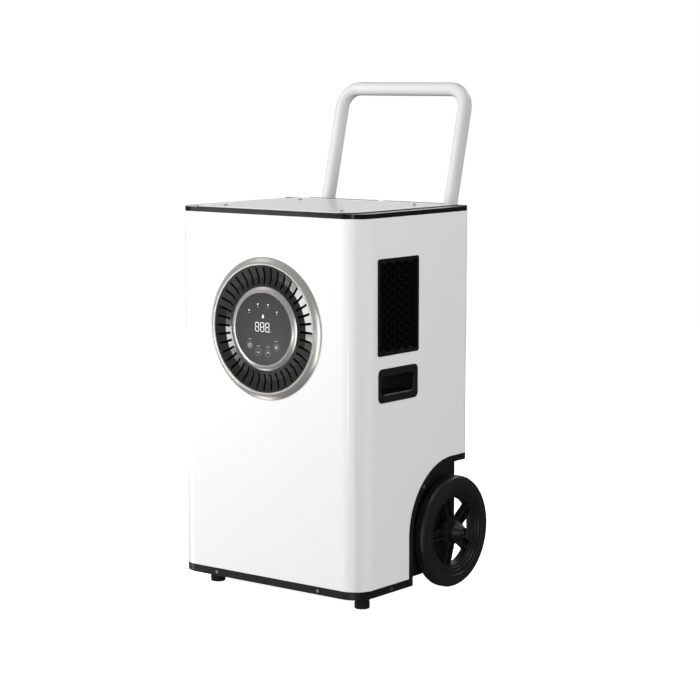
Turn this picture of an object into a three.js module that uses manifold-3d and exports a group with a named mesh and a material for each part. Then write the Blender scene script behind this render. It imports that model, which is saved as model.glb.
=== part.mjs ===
// Commercial dehumidifier on two wheels and two front feet.
// Millimetres, +Z up. The front faces -Y and +X is the right-hand side seen from the front.
// The cabinet is drawn about the middle of its own depth; the whole group is then moved so
// that the origin lies on the floor at the middle of the footprint.

import * as THREE from 'three';
import { mergeVertices } from 'three/addons/utils/BufferGeometryUtils.js';
import Module from 'manifold-3d';

const wasm = await Module();
wasm.setup();

// ---------------------------------------------------------------- driving dimensions

const GAP = 0.3;                      // clearance between touching pieces

// cabinet
const SIDE = 255;                     // half the cabinet's width
const FRONT = -200;
const REAR = 200;
const WALL = 2.5;
const FRONT_CORNER = 47;
const REAR_CORNER = 20;
const SEAM_Y = 159;                   // joint between the wrap and the rear cover
const BASE_LOW = 33;                  // underside of the base above the floor
const BASE_TOP = 50.4;
const SHELL_TOP = 839.1;
const LEDGE_TOP = 849.3;
const LID_TOP = 851.4;
const LEDGE_WIDTH = 31;               // low ledge beside the raised lid

// wheel arches
const ARCH_RADIUS = 160;
const ARCH_Y = 135.5;
const ARCH_Z = 140;
const ARCH_RIM = 15;
const ARCH_DEPTH = 41;                // from the cabinet's side to the arch's inner wall
const ARCH_WALL_X = SIDE - ARCH_DEPTH;

// wheels
const WHEEL_RADIUS = 125;
const WHEEL_X = 238.5;
const WHEEL_Y = 155.4;
const TYRE_HALF_WIDTH = 17.5;
const RIM_RADIUS = 95;
const AXLE_RADIUS = 8;

// dial on the front
const DIAL_Z = 595.3;
const DIAL_RADIUS = 154.5;
const DIAL_PROUD = 9;
const SLOT_COUNT = 40;

// side openings
const SIDE_PART_Y = -66.75;
const GRILLE_Z = 650.8;
const GRILLE_LENGTH = 144.5;
const GRILLE_HEIGHT = 205.6;
const GRIP_Z = 484.5;
const GRIP_LENGTH = 139.5;
const GRIP_HEIGHT = 73;
const GRIP_POCKET_LENGTH = 114.1;
const GRIP_POCKET_HEIGHT = 36.6;
const GRIP_POCKET_DEPTH = 45;

// handle
const TUBE_RADIUS = 15.5;
const HANDLE_X = 174.4;
const HANDLE_BACK = 19.5;             // the upright tube's axis behind the rear face
const HANDLE_LOW = 330;
const HANDLE_TOP = 1102.5;            // axis of the crossbar
const HANDLE_LEAN = 0.252;            // backward travel per unit of height
const HANDLE_BEND_Z = 779;            // where the uprights start to lean
const HANDLE_CORNER = 45;
const CROSSBAR_Y = REAR + HANDLE_BACK + (HANDLE_TOP - HANDLE_BEND_Z) * HANDLE_LEAN;

// air path
const AIR_Z = 560;
const INTAKE_HALF_WIDTH = 140;
const INTAKE_HALF_HEIGHT = 160;
const FAN_RADIUS = 148;

const FOOT_X = 205.6;
const FOOT_Y = -126.9;
const FOOT_RADIUS = 16.5;

// the footprint's middle: from the dial's proudest face to the back of the crossbar
const CENTRE_Y = (FRONT - DIAL_PROUD + CROSSBAR_Y + TUBE_RADIUS) / 2;

// ---------------------------------------------------------------- solids

// A closed three.js geometry as a manifold solid.
function solid(geometry) {
  const bare = geometry.clone();
  bare.deleteAttribute('normal');
  bare.deleteAttribute('uv');
  const merged = mergeVertices(bare, 1e-4);
  const index = merged.index.array;
  const triangles = [];
  for (let i = 0; i < index.length; i += 3) {
    const [a, b, c] = [index[i], index[i + 1], index[i + 2]];
    if (a !== b && b !== c && c !== a) triangles.push(a, b, c);
  }
  const mesh = new wasm.Mesh({
    numProp: 3,
    vertProperties: new Float32Array(merged.attributes.position.array),
    triVerts: new Uint32Array(triangles),
  });
  return new wasm.Manifold(mesh);
}

// A manifold solid as a three.js geometry.
function geometryOf(body) {
  const mesh = body.getMesh();
  const geometry = new THREE.BufferGeometry();
  geometry.setAttribute('position', new THREE.BufferAttribute(mesh.vertProperties, 3));
  geometry.setIndex(new THREE.BufferAttribute(mesh.triVerts, 1));
  geometry.computeVertexNormals();
  return geometry;
}

function union(...bodies) {
  return bodies.reduce((sum, body) => sum.add(body));
}

function polygon(points) {
  return new THREE.Shape(points.map(([x, y]) => new THREE.Vector2(x, y)));
}

function extruded(shape, depth, curveSegments) {
  return new THREE.ExtrudeGeometry(shape, { depth, bevelEnabled: false, curveSegments });
}

// A shape in the XY plane between two heights.
function prismZ(shape, low, high, curveSegments = 6) {
  return solid(extruded(shape, high - low, curveSegments).translate(0, 0, low));
}

// A shape drawn in (y, z) between two x values.
function prismX(shape, low, high, curveSegments = 6) {
  const turn = new THREE.Matrix4().makeBasis(
    new THREE.Vector3(0, 1, 0), new THREE.Vector3(0, 0, 1), new THREE.Vector3(1, 0, 0));
  const geometry = extruded(shape, high - low, curveSegments).applyMatrix4(turn);
  return solid(geometry.translate(low, 0, 0));
}

// A shape drawn in (x, z) between two y values.
function prismY(shape, low, high, curveSegments = 6) {
  const turn = new THREE.Matrix4().makeBasis(
    new THREE.Vector3(1, 0, 0), new THREE.Vector3(0, 0, 1), new THREE.Vector3(0, -1, 0));
  const geometry = extruded(shape, high - low, curveSegments).applyMatrix4(turn);
  return solid(geometry.translate(0, high, 0));
}

function box(x0, x1, y0, y1, z0, z1) {
  const geometry = new THREE.BoxGeometry(x1 - x0, y1 - y0, z1 - z0);
  return solid(geometry.translate((x0 + x1) / 2, (y0 + y1) / 2, (z0 + z1) / 2));
}

// A profile of (radius, height) pairs, anticlockwise, turned about +Y. It closes on the axis
// where it starts there, and on itself otherwise.
function turnedGeometry(profile, segments) {
  const points = profile.map(([radius, height]) => new THREE.Vector2(radius, height));
  if (profile[0][0] > 0) points.push(points[0].clone());
  return new THREE.LatheGeometry(points, segments);
}

function turnedY(profile, segments) {
  return solid(turnedGeometry(profile, segments));
}

function turnedX(profile, segments) {
  return solid(turnedGeometry(profile, segments).rotateZ(-Math.PI / 2));
}

function turnedZ(profile, segments) {
  return solid(turnedGeometry(profile, segments).rotateX(Math.PI / 2));
}

// Profile of a plain ring.
function ring(inner, outer, low, high) {
  return [[outer, low], [outer, high], [inner, high], [inner, low]];
}

// Profile of a plain disc.
function disc(radius, low, high) {
  return [[0, low], [radius, low], [radius, high], [0, high]];
}

function circle(x, y, radius) {
  const shape = new THREE.Shape();
  shape.absarc(x, y, radius, 0, 2 * Math.PI);
  return shape;
}

function rounded(x0, x1, y0, y1, radius) {
  const shape = new THREE.Shape();
  shape.absarc(x1 - radius, y0 + radius, radius, -Math.PI / 2, 0);
  shape.absarc(x1 - radius, y1 - radius, radius, 0, Math.PI / 2);
  shape.absarc(x0 + radius, y1 - radius, radius, Math.PI / 2, Math.PI);
  shape.absarc(x0 + radius, y0 + radius, radius, Math.PI, 1.5 * Math.PI);
  return shape;
}

// A rounded rectangle about its own centre.
function window2d(length, height, radius) {
  return rounded(-length / 2, length / 2, -height / 2, height / 2, radius);
}

// A path of straight runs joined by arcs, sampled only where it bends.
class Route extends THREE.Curve {
  constructor(points) {
    super();
    this.points = points;
  }

  getPoint(t, target = new THREE.Vector3()) {
    const place = Math.min(Math.max(t, 0), 1) * (this.points.length - 1);
    const first = Math.min(Math.floor(place), this.points.length - 2);
    return target.lerpVectors(this.points[first], this.points[first + 1], place - first);
  }

  getUtoTmapping(u) {
    return u;
  }
}

// The points of a route whose corners are rounded to one radius.
function bentRoute(corners, radius, stepsPerCorner) {
  const points = [corners[0].clone()];
  for (let i = 1; i < corners.length - 1; i += 1) {
    const back = corners[i - 1].clone().sub(corners[i]).normalize();
    const ahead = corners[i + 1].clone().sub(corners[i]).normalize();
    const half = back.angleTo(ahead) / 2;
    const toCentre = back.clone().add(ahead).normalize();
    const centre = corners[i].clone().addScaledVector(toCentre, radius / Math.sin(half));
    const start = corners[i].clone().addScaledVector(back, radius / Math.tan(half)).sub(centre);
    const end = corners[i].clone().addScaledVector(ahead, radius / Math.tan(half)).sub(centre);
    const axis = start.clone().cross(end).normalize();
    const angle = start.angleTo(end);
    for (let step = 0; step <= stepsPerCorner; step += 1) {
      const arm = start.clone().applyAxisAngle(axis, (angle * step) / stepsPerCorner);
      points.push(centre.clone().add(arm));
    }
  }
  points.push(corners[corners.length - 1].clone());
  return points;
}

// A round rod along a route, its section turned by a twist about the route.
function rod(corners, radius, bend, stepsPerCorner, sides, twist = 0) {
  const points = bentRoute(corners.map((corner) => new THREE.Vector3(...corner)), bend, stepsPerCorner);
  const section = [];
  for (let i = 0; i < sides; i += 1) {
    const angle = (2 * Math.PI * i) / sides + twist;
    section.push([radius * Math.cos(angle), radius * Math.sin(angle)]);
  }
  const options = { steps: points.length - 1, bevelEnabled: false, extrudePath: new Route(points) };
  return solid(new THREE.ExtrudeGeometry(polygon(section), options));
}

// ---------------------------------------------------------------- materials and nodes

function finish(color, roughness, metalness = 0) {
  return new THREE.MeshStandardMaterial({ color, roughness, metalness });
}

const WHITE_PLASTIC = finish(0xf4f4f2, 0.3);
const LID_PLASTIC = finish(0xd9dad9, 0.18);
const BLACK_PLASTIC = finish(0x1b1b1c, 0.38);
const GLOSS_BLACK = finish(0x0d0d0e, 0.12);
const NICKEL = finish(0xb9b2a6, 0.3, 1);
const RUBBER = finish(0x161616, 0.8);
const WHITE_PAINT = finish(0xe9e9e6, 0.35);
const STEEL = finish(0xb8babd, 0.3, 1);
const DARK_STEEL = finish(0x3a3a3c, 0.4, 1);
const ALUMINIUM = finish(0xc9ccd0, 0.45, 1);
const COPPER = finish(0xb87340, 0.35, 1);
const FILTER_CLOTH = finish(0x3c4043, 0.95);
const BOARD = finish(0x1f5a36, 0.6);

function node(parent, name, body, material, x = 0, y = 0, z = 0) {
  const mesh = new THREE.Mesh(geometryOf(body), material);
  mesh.name = name;
  mesh.position.set(x, y, z);
  parent.add(mesh);
  return mesh;
}

const cabinet = new THREE.Group();
cabinet.position.y = -CENTRE_Y;

// Each side's name and its direction along X.
const SIDES = [['left', -1], ['right', 1]];

// An x range given for the right side, on either side.
function across(direction, near, far) {
  return direction > 0 ? [near, far] : [-far, -near];
}

// A group whose local +X points out of the given side.
function sideGroup(direction, x, y, z) {
  const group = new THREE.Group();
  group.position.set(direction * x, y, z);
  group.rotation.z = direction > 0 ? 0 : Math.PI;
  cabinet.add(group);
  return group;
}

// ---------------------------------------------------------------- cabinet outline

// The cabinet's plan outline, moved inwards by an inset.
function planOutline(inset) {
  const side = SIDE - inset;
  const front = FRONT + inset;
  const rear = REAR - inset;
  const frontRadius = FRONT_CORNER - inset;
  const rearRadius = REAR_CORNER - inset;
  const shape = new THREE.Shape();
  shape.absarc(side - frontRadius, front + frontRadius, frontRadius, -Math.PI / 2, 0);
  shape.absarc(side - rearRadius, rear - rearRadius, rearRadius, 0, Math.PI / 2);
  shape.absarc(rearRadius - side, rear - rearRadius, rearRadius, Math.PI / 2, Math.PI);
  shape.absarc(frontRadius - side, front + frontRadius, frontRadius, Math.PI, 1.5 * Math.PI);
  return shape;
}

function shell(low, high) {
  const outer = prismZ(planOutline(0), low, high, 8);
  return outer.subtract(prismZ(planOutline(WALL), low - 1, high + 1, 8));
}

// The wheel arch seen from the side: straight up, round the arch, then level to the rear.
function archOutline(radius) {
  const shape = new THREE.Shape();
  shape.moveTo(ARCH_Y - radius, 0);
  shape.lineTo(ARCH_Y - radius, ARCH_Z);
  shape.absarc(ARCH_Y, ARCH_Z, radius, Math.PI, Math.PI / 2, true);
  shape.lineTo(REAR + 20, ARCH_Z + radius);
  shape.lineTo(REAR + 20, 0);
  return shape;
}

function archSpace(direction, radius, innerX) {
  return prismX(archOutline(radius), ...across(direction, innerX, SIDE + 20), 9);
}

// The base rises towards the rear so that the machine can be tipped on to its wheels.
const BASE_REAR_LOW = 72;
const BASE_REAR_TOP = 90;
const BASE_KINK_Y = 73;
const BASE_KINK_LOW = 38;
const FRONT_BASE_END = ARCH_Y - ARCH_RADIUS + ARCH_RIM;

// ---------------------------------------------------------------- base

const BASE_SCREW_Z = 41.6;
const FRONT_SCREW_X = 143;
const SIDE_SCREW_Y = -88;
const SCREW_SHANK = 1.9;
const SCREW_LENGTH = 8;
const SCREW_HOLE = 2.2;

function baseTray() {
  const frontPart = prismZ(planOutline(0), BASE_LOW, BASE_TOP, 8)
    .intersect(box(-SIDE, SIDE, FRONT, FRONT_BASE_END, BASE_LOW, BASE_TOP));
  const rearProfile = polygon([
    [FRONT_BASE_END - 20, BASE_KINK_LOW], [BASE_KINK_Y, BASE_KINK_LOW], [REAR, BASE_REAR_LOW],
    [REAR, BASE_REAR_TOP], [BASE_KINK_Y, BASE_TOP], [FRONT_BASE_END - 20, BASE_TOP],
  ]);
  const hollowProfile = polygon([
    [FRONT + WALL, BASE_LOW + 6], [FRONT_BASE_END, BASE_KINK_LOW + WALL],
    [BASE_KINK_Y, BASE_KINK_LOW + WALL], [REAR - WALL, BASE_REAR_LOW + WALL],
    [REAR - WALL, BASE_REAR_TOP + 5], [FRONT + WALL, BASE_REAR_TOP + 5],
  ]);
  const frontHollow = prismZ(planOutline(WALL), BASE_LOW + 6, BASE_TOP + 5, 8)
    .intersect(box(-SIDE, SIDE, FRONT, FRONT_BASE_END - WALL, BASE_LOW, BASE_TOP + 5));
  let tray = union(frontPart, prismX(rearProfile, -ARCH_WALL_X - WALL, ARCH_WALL_X + WALL));
  tray = tray.subtract(frontHollow);
  tray = tray.subtract(prismX(hollowProfile, -ARCH_WALL_X, ARCH_WALL_X));
  for (const [, direction] of SIDES) {
    const frontScrew = circle(direction * FRONT_SCREW_X, BASE_SCREW_Z, SCREW_HOLE);
    tray = tray.subtract(prismY(frontScrew, FRONT - 5, FRONT + 5, 3));
    const sideScrew = circle(SIDE_SCREW_Y, BASE_SCREW_Z, SCREW_HOLE);
    tray = tray.subtract(prismX(sideScrew, ...across(direction, SIDE - 5, SIDE + 5), 3));
  }
  return tray;
}

node(cabinet, 'base_tray', baseTray(), BLACK_PLASTIC);

function foot() {
  return turnedZ([
    [0, 0], [FOOT_RADIUS - 2, 0], [FOOT_RADIUS, 2], [FOOT_RADIUS, BASE_LOW - 8],
    [FOOT_RADIUS - 3, BASE_LOW - GAP], [0, BASE_LOW - GAP],
  ], 24);
}

for (const [side, direction] of SIDES) {
  node(cabinet, `foot_${side}`, foot(), RUBBER, direction * FOOT_X, FOOT_Y, 0);
}

// ---------------------------------------------------------------- wheel arches

const ARCH_SCREW_Y = 28.4;
const ARCH_SCREW_Z = 245.7;

function wheelArch(direction) {
  const edge = archSpace(direction, ARCH_RADIUS - GAP, ARCH_WALL_X);
  const opening = archSpace(direction, ARCH_RADIUS - ARCH_RIM, ARCH_WALL_X - 5);
  const aboveBase = box(-SIDE - 5, SIDE + 5, FRONT, REAR, BASE_TOP + GAP, SHELL_TOP);
  const rim = shell(BASE_TOP + GAP, SHELL_TOP).intersect(edge).subtract(opening);
  const linerEdge = archSpace(direction, ARCH_RADIUS - ARCH_RIM + WALL, ARCH_WALL_X);
  const inside = prismZ(planOutline(0), 0, SHELL_TOP, 8);
  const liner = linerEdge.intersect(inside).subtract(opening).intersect(aboveBase);
  const wallProfile = polygon([
    [ARCH_Y - ARCH_RADIUS, BASE_TOP + GAP], [BASE_KINK_Y, BASE_TOP + GAP],
    [REAR, BASE_REAR_TOP + GAP], [REAR, SHELL_TOP], [ARCH_Y - ARCH_RADIUS, SHELL_TOP],
  ]);
  const wall = prismX(wallProfile, ...across(direction, ARCH_WALL_X, ARCH_WALL_X + WALL))
    .intersect(linerEdge);
  const axleHole = prismX(circle(WHEEL_Y, WHEEL_RADIUS, AXLE_RADIUS + 1),
    ...across(direction, ARCH_WALL_X - 5, ARCH_WALL_X + 10), 6);
  const screwHole = prismX(circle(ARCH_SCREW_Y, ARCH_SCREW_Z, SCREW_HOLE),
    ...across(direction, SIDE - 5, SIDE + 5), 3);
  return union(rim, liner, wall).subtract(axleHole).subtract(screwHole);
}

for (const [side, direction] of SIDES) {
  node(cabinet, `wheel_arch_${side}`, wheelArch(direction), BLACK_PLASTIC);
}

// ---------------------------------------------------------------- front wrap and rear cover

const DIAL_HOLE = DIAL_RADIUS - 4.5;
const GRILLE_SLEEVE_INSET = 5;        // the grille's sleeve lies inside its bezel's edge
const POCKET_WALL = 2;
const FRAME_LOW = BASE_TOP + GAP;
const FRAME_HIGH = SHELL_TOP;

function sideHole(length, height, radius, z, direction) {
  const shape = rounded(SIDE_PART_Y - length / 2, SIDE_PART_Y + length / 2,
    z - height / 2, z + height / 2, radius);
  return prismX(shape, ...across(direction, SIDE - 10, SIDE + 10), 3);
}

function frontWrap() {
  let wrap = shell(FRAME_LOW, FRAME_HIGH)
    .intersect(box(-SIDE, SIDE, FRONT, SEAM_Y, FRAME_LOW, FRAME_HIGH))
    .subtract(prismY(circle(0, DIAL_Z, DIAL_HOLE), FRONT - 5, FRONT + 10, 20));
  for (const [, direction] of SIDES) {
    wrap = wrap.subtract(archSpace(direction, ARCH_RADIUS, ARCH_WALL_X - GAP));
    const grilleInset = 2 * GRILLE_SLEEVE_INSET;
    wrap = wrap.subtract(
      sideHole(GRILLE_LENGTH - grilleInset, GRILLE_HEIGHT - grilleInset, 4, GRILLE_Z, direction));
    const pocketRim = 2 * (POCKET_WALL + GAP);
    wrap = wrap.subtract(sideHole(
      GRIP_POCKET_LENGTH + pocketRim, GRIP_POCKET_HEIGHT + pocketRim, 12, GRIP_Z, direction));
  }
  return wrap;
}

node(cabinet, 'front_wrap', frontWrap(), WHITE_PLASTIC);

const OUTLET_X = -120;
const GLAND_X = 120;
const REAR_FITTING_Z = 130;
const OUTLET_HOLE = 12;
const GLAND_HOLE = 9;

function rearCover() {
  let cover = shell(FRAME_LOW, FRAME_HIGH)
    .intersect(box(-SIDE, SIDE, SEAM_Y + GAP, REAR, FRAME_LOW, FRAME_HIGH))
    .subtract(box(-SIDE, SIDE, SEAM_Y, REAR + 5, 0, BASE_REAR_TOP + GAP));
  for (const [, direction] of SIDES) {
    cover = cover.subtract(archSpace(direction, ARCH_RADIUS, ARCH_WALL_X - GAP));
  }
  const intake = rounded(-INTAKE_HALF_WIDTH, INTAKE_HALF_WIDTH,
    AIR_Z - INTAKE_HALF_HEIGHT, AIR_Z + INTAKE_HALF_HEIGHT, 8);
  return cover.subtract(prismY(intake, REAR - 10, REAR + 10, 3))
    .subtract(prismY(circle(OUTLET_X, REAR_FITTING_Z, OUTLET_HOLE), REAR - 10, REAR + 10))
    .subtract(prismY(circle(GLAND_X, REAR_FITTING_Z, GLAND_HOLE), REAR - 10, REAR + 10));
}

node(cabinet, 'rear_cover', rearCover(), WHITE_PLASTIC);

// ---------------------------------------------------------------- top frame and lid

const LID_HALF_WIDTH = SIDE - LEDGE_WIDTH;
const LID_MARGIN = 2;
const LID_THICKNESS = 4;
const LID_REAR_INSET = 6;             // the lid stops short of the rear face
const LID_CORNER = [30, 8];           // the chamfered front corners, across
const LID_CORNER_BACK = [25, 60];     // and back from the front edge
const LID_SCREW_X = 162;
const LID_SCREWS = [['front', -141], ['rear', 117]];
const TOP_FRAME_WIDTH = 14;           // ring left under the lid
const REAR_STRIP_Y = 176;             // the frame's rear strip rises to the lid from here
const LIP_RUNS = [[-195, 3], [18, 185]];
const LIP_INSET = 5.7;
const LIP_WIDTH = 2.6;
const LIP_PROUD = 0.8;

// The raised platform that carries the lid, moved inwards by an inset.
function lidOutline(inset) {
  const half = LID_HALF_WIDTH - inset;
  const front = FRONT + inset;
  const rear = REAR - LID_REAR_INSET - inset;
  const [cornerX, shoulderX] = LID_CORNER.map((cut) => half - cut);
  const [shoulderY, sideY] = LID_CORNER_BACK.map((back) => front + back);
  return polygon([
    [-half, sideY], [-shoulderX, shoulderY], [-cornerX, front],
    [cornerX, front], [shoulderX, shoulderY], [half, sideY],
    [half, rear], [-half, rear],
  ]);
}

function topFrame() {
  const low = SHELL_TOP + GAP;
  const platformTop = LID_TOP - 0.6;
  const ledges = prismZ(planOutline(0), low, LEDGE_TOP, 8);
  const rearStrip = prismZ(planOutline(0), LEDGE_TOP - 1, platformTop, 8)
    .intersect(box(-SIDE, SIDE, REAR_STRIP_Y, REAR, LEDGE_TOP - 1, LID_TOP));
  const frame = union(ledges, prismZ(lidOutline(0), LEDGE_TOP - 1, platformTop), rearStrip);
  const seatDepth = LID_TOP - LID_THICKNESS - GAP;
  const open = frame
    .subtract(prismZ(lidOutline(LID_MARGIN), seatDepth, LID_TOP))
    .subtract(prismZ(lidOutline(LID_MARGIN + TOP_FRAME_WIDTH), low - 1, LID_TOP));
  const lips = LIP_RUNS.map(([x0, x1]) =>
    box(x0, x1, REAR - LIP_INSET, REAR - LIP_INSET + LIP_WIDTH, LEDGE_TOP - 1, LID_TOP + LIP_PROUD));
  return union(open, ...lips);
}

node(cabinet, 'top_frame', topFrame(), GLOSS_BLACK);

function lidPanel() {
  let lid = prismZ(lidOutline(LID_MARGIN + GAP), LID_TOP - LID_THICKNESS, LID_TOP);
  for (const [, direction] of SIDES) {
    for (const [, y] of LID_SCREWS) {
      const hole = circle(direction * LID_SCREW_X, y, SCREW_HOLE);
      lid = lid.subtract(prismZ(hole, LID_TOP - 10, LID_TOP + 1, 3));
    }
  }
  return lid;
}

node(cabinet, 'lid_panel', lidPanel(), LID_PLASTIC);

// ---------------------------------------------------------------- dial

// Local +Y points out of the front; heights are measured from the cabinet's front face.
const dial = new THREE.Group();
dial.position.set(0, FRONT, DIAL_Z);
dial.rotation.x = Math.PI;
cabinet.add(dial);

const RING_SEGMENTS = 48;
const RING_INNER = 139.2;
const GRILLE_OUTER = 136.9;
const CREASE = 112.5;
const HUB_OUTER = 91;
const DISPLAY = 78.2;
const BEHIND_FRONT = -6;

const OUTER_RING = [
  [DIAL_HOLE - 1, BEHIND_FRONT], [DIAL_HOLE - 1, GAP], [DIAL_RADIUS, GAP],
  [DIAL_RADIUS, 0.9], [RING_INNER, DIAL_PROUD], [RING_INNER - 1, DIAL_PROUD],
  [RING_INNER - 2, DIAL_PROUD - 1.2], [RING_INNER - 2, BEHIND_FRONT],
];
node(dial, 'dial_outer_ring', turnedY(OUTER_RING, RING_SEGMENTS), NICKEL);

const INNER_RING = [
  [HUB_OUTER, -3.4], [HUB_OUTER, 5], [DISPLAY + 0.9, DIAL_PROUD], [DISPLAY, DIAL_PROUD - 0.8],
  [DISPLAY, -3.4],
];
node(dial, 'dial_inner_ring', turnedY(INNER_RING, RING_SEGMENTS), NICKEL);

const SLOT_INNER = 96;
const SLOT_OUTER = 133.5;
const SLOT_HALF_WIDTH = 2;

// A V-groove cover with a ring of radial slots.
function dialGrille() {
  const profile = [
    [GRILLE_OUTER, BEHIND_FRONT], [GRILLE_OUTER, 7.5], [CREASE, 1], [HUB_OUTER + 0.6, 5],
    [HUB_OUTER + 0.6, BEHIND_FRONT], [HUB_OUTER + 3, BEHIND_FRONT], [HUB_OUTER + 3, 2],
    [CREASE, -1.5], [GRILLE_OUTER - 2.5, 4.2], [GRILLE_OUTER - 2.5, BEHIND_FRONT],
  ];
  let grille = turnedY(profile, SLOT_COUNT);
  for (let i = 0; i < SLOT_COUNT; i += 1) {
    const slot = new THREE.BoxGeometry(SLOT_OUTER - SLOT_INNER, 30, 2 * SLOT_HALF_WIDTH);
    slot.translate((SLOT_INNER + SLOT_OUTER) / 2, 0, 0);
    slot.rotateY((2 * Math.PI * i) / SLOT_COUNT + Math.PI / 2);
    grille = grille.subtract(solid(slot));
  }
  return grille;
}

node(dial, 'dial_grille', dialGrille(), GLOSS_BLACK);

const HOUSING_RADIUS = DISPLAY - GAP;
const DISPLAY_HOUSING = [
  [0, -3.4], [HOUSING_RADIUS, -3.4], [HOUSING_RADIUS, 5.5], [HOUSING_RADIUS - 2, 5.5],
  [HOUSING_RADIUS - 2, -1.4], [0, -1.4],
];
node(dial, 'display_housing', turnedY(DISPLAY_HOUSING, 24), BLACK_PLASTIC);
node(dial, 'control_board', turnedY(disc(HOUSING_RADIUS - 5, 0.6, 2.2), 24), BOARD);
node(dial, 'display_glass', turnedY(disc(HOUSING_RADIUS, 5.8, 8.2), RING_SEGMENTS), GLOSS_BLACK);

// ---------------------------------------------------------------- side grilles and hand grips

const BEZEL_PROUD = 2;
const HEX_RADIUS = 15.7;              // cell size from centre to corner
const HEX_WEB = 2;                    // wall left between two cells

// One hexagonal hole with flat top and bottom.
function hexagon(y, z, radius) {
  const points = [];
  for (let i = 0; i < 6; i += 1) {
    const angle = (Math.PI * i) / 3;
    points.push([y + radius * Math.cos(angle), z + radius * Math.sin(angle)]);
  }
  return polygon(points);
}

function honeycomb(length, height) {
  const columnPitch = 1.5 * HEX_RADIUS;
  const rowPitch = Math.sqrt(3) * HEX_RADIUS;
  const holeRadius = HEX_RADIUS - HEX_WEB / Math.sqrt(3);
  const plate = prismX(window2d(length, height, 3), -5, -2.5, 2);
  const window = prismX(window2d(length - 4, height - 4, 2), -6, 0, 1);
  const columns = Math.floor(length / 2 / columnPitch);
  const rows = Math.floor(height / 2 / rowPitch);
  let holes = null;
  for (let column = -columns; column <= columns; column += 1) {
    const offset = column % 2 === 0 ? 0 : rowPitch / 2;
    for (let row = -rows - 1; row <= rows; row += 1) {
      const y = column * columnPitch;
      const z = row * rowPitch + offset;
      const inside = Math.abs(y) < length / 2 - 4 && Math.abs(z) < height / 2 - 5;
      if (inside) {
        const hole = prismX(hexagon(y, z, holeRadius), -6, 0).intersect(window);
        holes = holes ? holes.add(hole) : hole;
      }
    }
  }
  return plate.subtract(holes);
}

// Bezel, sleeve through the side panel and honeycomb, with local +X out of the side.
function sideGrille() {
  const sleeveLength = GRILLE_LENGTH - 2 * (GRILLE_SLEEVE_INSET + GAP);
  const sleeveHeight = GRILLE_HEIGHT - 2 * (GRILLE_SLEEVE_INSET + GAP);
  const bezel = prismX(window2d(GRILLE_LENGTH, GRILLE_HEIGHT, 6), GAP, BEZEL_PROUD, 3);
  const sleeve = prismX(window2d(sleeveLength, sleeveHeight, 3.7), -5, BEZEL_PROUD, 2);
  const opening = prismX(window2d(sleeveLength - 4, sleeveHeight - 4, 2), -6, BEZEL_PROUD + 1, 2);
  return union(union(bezel, sleeve).subtract(opening), honeycomb(sleeveLength, sleeveHeight));
}

// Bezel and closed pocket for the fingers, with local +X out of the side.
function handGrip() {
  const bezel = prismX(window2d(GRIP_LENGTH, GRIP_HEIGHT, 12), GAP, BEZEL_PROUD, 3);
  const outer = window2d(GRIP_POCKET_LENGTH + 2 * POCKET_WALL, GRIP_POCKET_HEIGHT + 2 * POCKET_WALL,
    12 - GAP);
  const cup = prismX(outer, -GRIP_POCKET_DEPTH, BEZEL_PROUD, 3);
  const pocket = prismX(window2d(GRIP_POCKET_LENGTH, GRIP_POCKET_HEIGHT, 10),
    POCKET_WALL - GRIP_POCKET_DEPTH, BEZEL_PROUD + 1, 3);
  return union(bezel, cup).subtract(pocket);
}

for (const [side, direction] of SIDES) {
  const grilleGroup = sideGroup(direction, SIDE, SIDE_PART_Y, GRILLE_Z);
  node(grilleGroup, `side_grille_${side}`, sideGrille(), GLOSS_BLACK);
  const gripGroup = sideGroup(direction, SIDE, SIDE_PART_Y, GRIP_Z);
  node(gripGroup, `hand_grip_${side}`, handGrip(), BLACK_PLASTIC);
}

// ---------------------------------------------------------------- intake and filter

const INTAKE_FRAME_HALF = 152;
const INTAKE_FRAME_LOW = 392;
const INTAKE_FRAME_HIGH = 728;
const FILTER_NEAR = REAR + 4;
const FILTER_FAR = REAR + 9;
const GRILLE_FAR = REAR + 14;
const FILTER_HALF = 145;
const FILTER_BORDER = 8;
const FILTER_LOW = INTAKE_FRAME_LOW + 7;
const FILTER_HIGH = INTAKE_FRAME_HIGH - 2;
const SLAT_PITCH = 26.6;
const SLAT_GAP = 20;
const SLAT_COLUMNS = [[-134, -4], [4, 134]];

// A raised frame on the rear cover. Its top is open so that the filter slides up and out.
function intakeGrille() {
  const height = [INTAKE_FRAME_LOW, INTAKE_FRAME_HIGH];
  const block = prismY(rounded(-INTAKE_FRAME_HALF, INTAKE_FRAME_HALF, ...height, 6),
    REAR + GAP, GRILLE_FAR, 2);
  const channel = box(-FILTER_HALF - 1, FILTER_HALF + 1, FILTER_NEAR - 0.5, FILTER_FAR + 0.5,
    INTAKE_FRAME_LOW + 6, INTAKE_FRAME_HIGH + 5);
  const inlet = box(-INTAKE_HALF_WIDTH, INTAKE_HALF_WIDTH, REAR - 1, FILTER_NEAR,
    AIR_Z - INTAKE_HALF_HEIGHT, AIR_Z + INTAKE_HALF_HEIGHT);
  let frame = block.subtract(channel).subtract(inlet);
  const count = Math.floor((2 * INTAKE_HALF_HEIGHT) / SLAT_PITCH);
  for (let i = 0; i < count; i += 1) {
    const low = AIR_Z - INTAKE_HALF_HEIGHT + i * SLAT_PITCH + (SLAT_PITCH - SLAT_GAP) / 2;
    for (const [x0, x1] of SLAT_COLUMNS) {
      frame = frame.subtract(box(x0, x1, FILTER_FAR, GRILLE_FAR + 1, low, low + SLAT_GAP));
    }
  }
  return frame;
}

node(cabinet, 'intake_grille', intakeGrille(), BLACK_PLASTIC);

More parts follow.
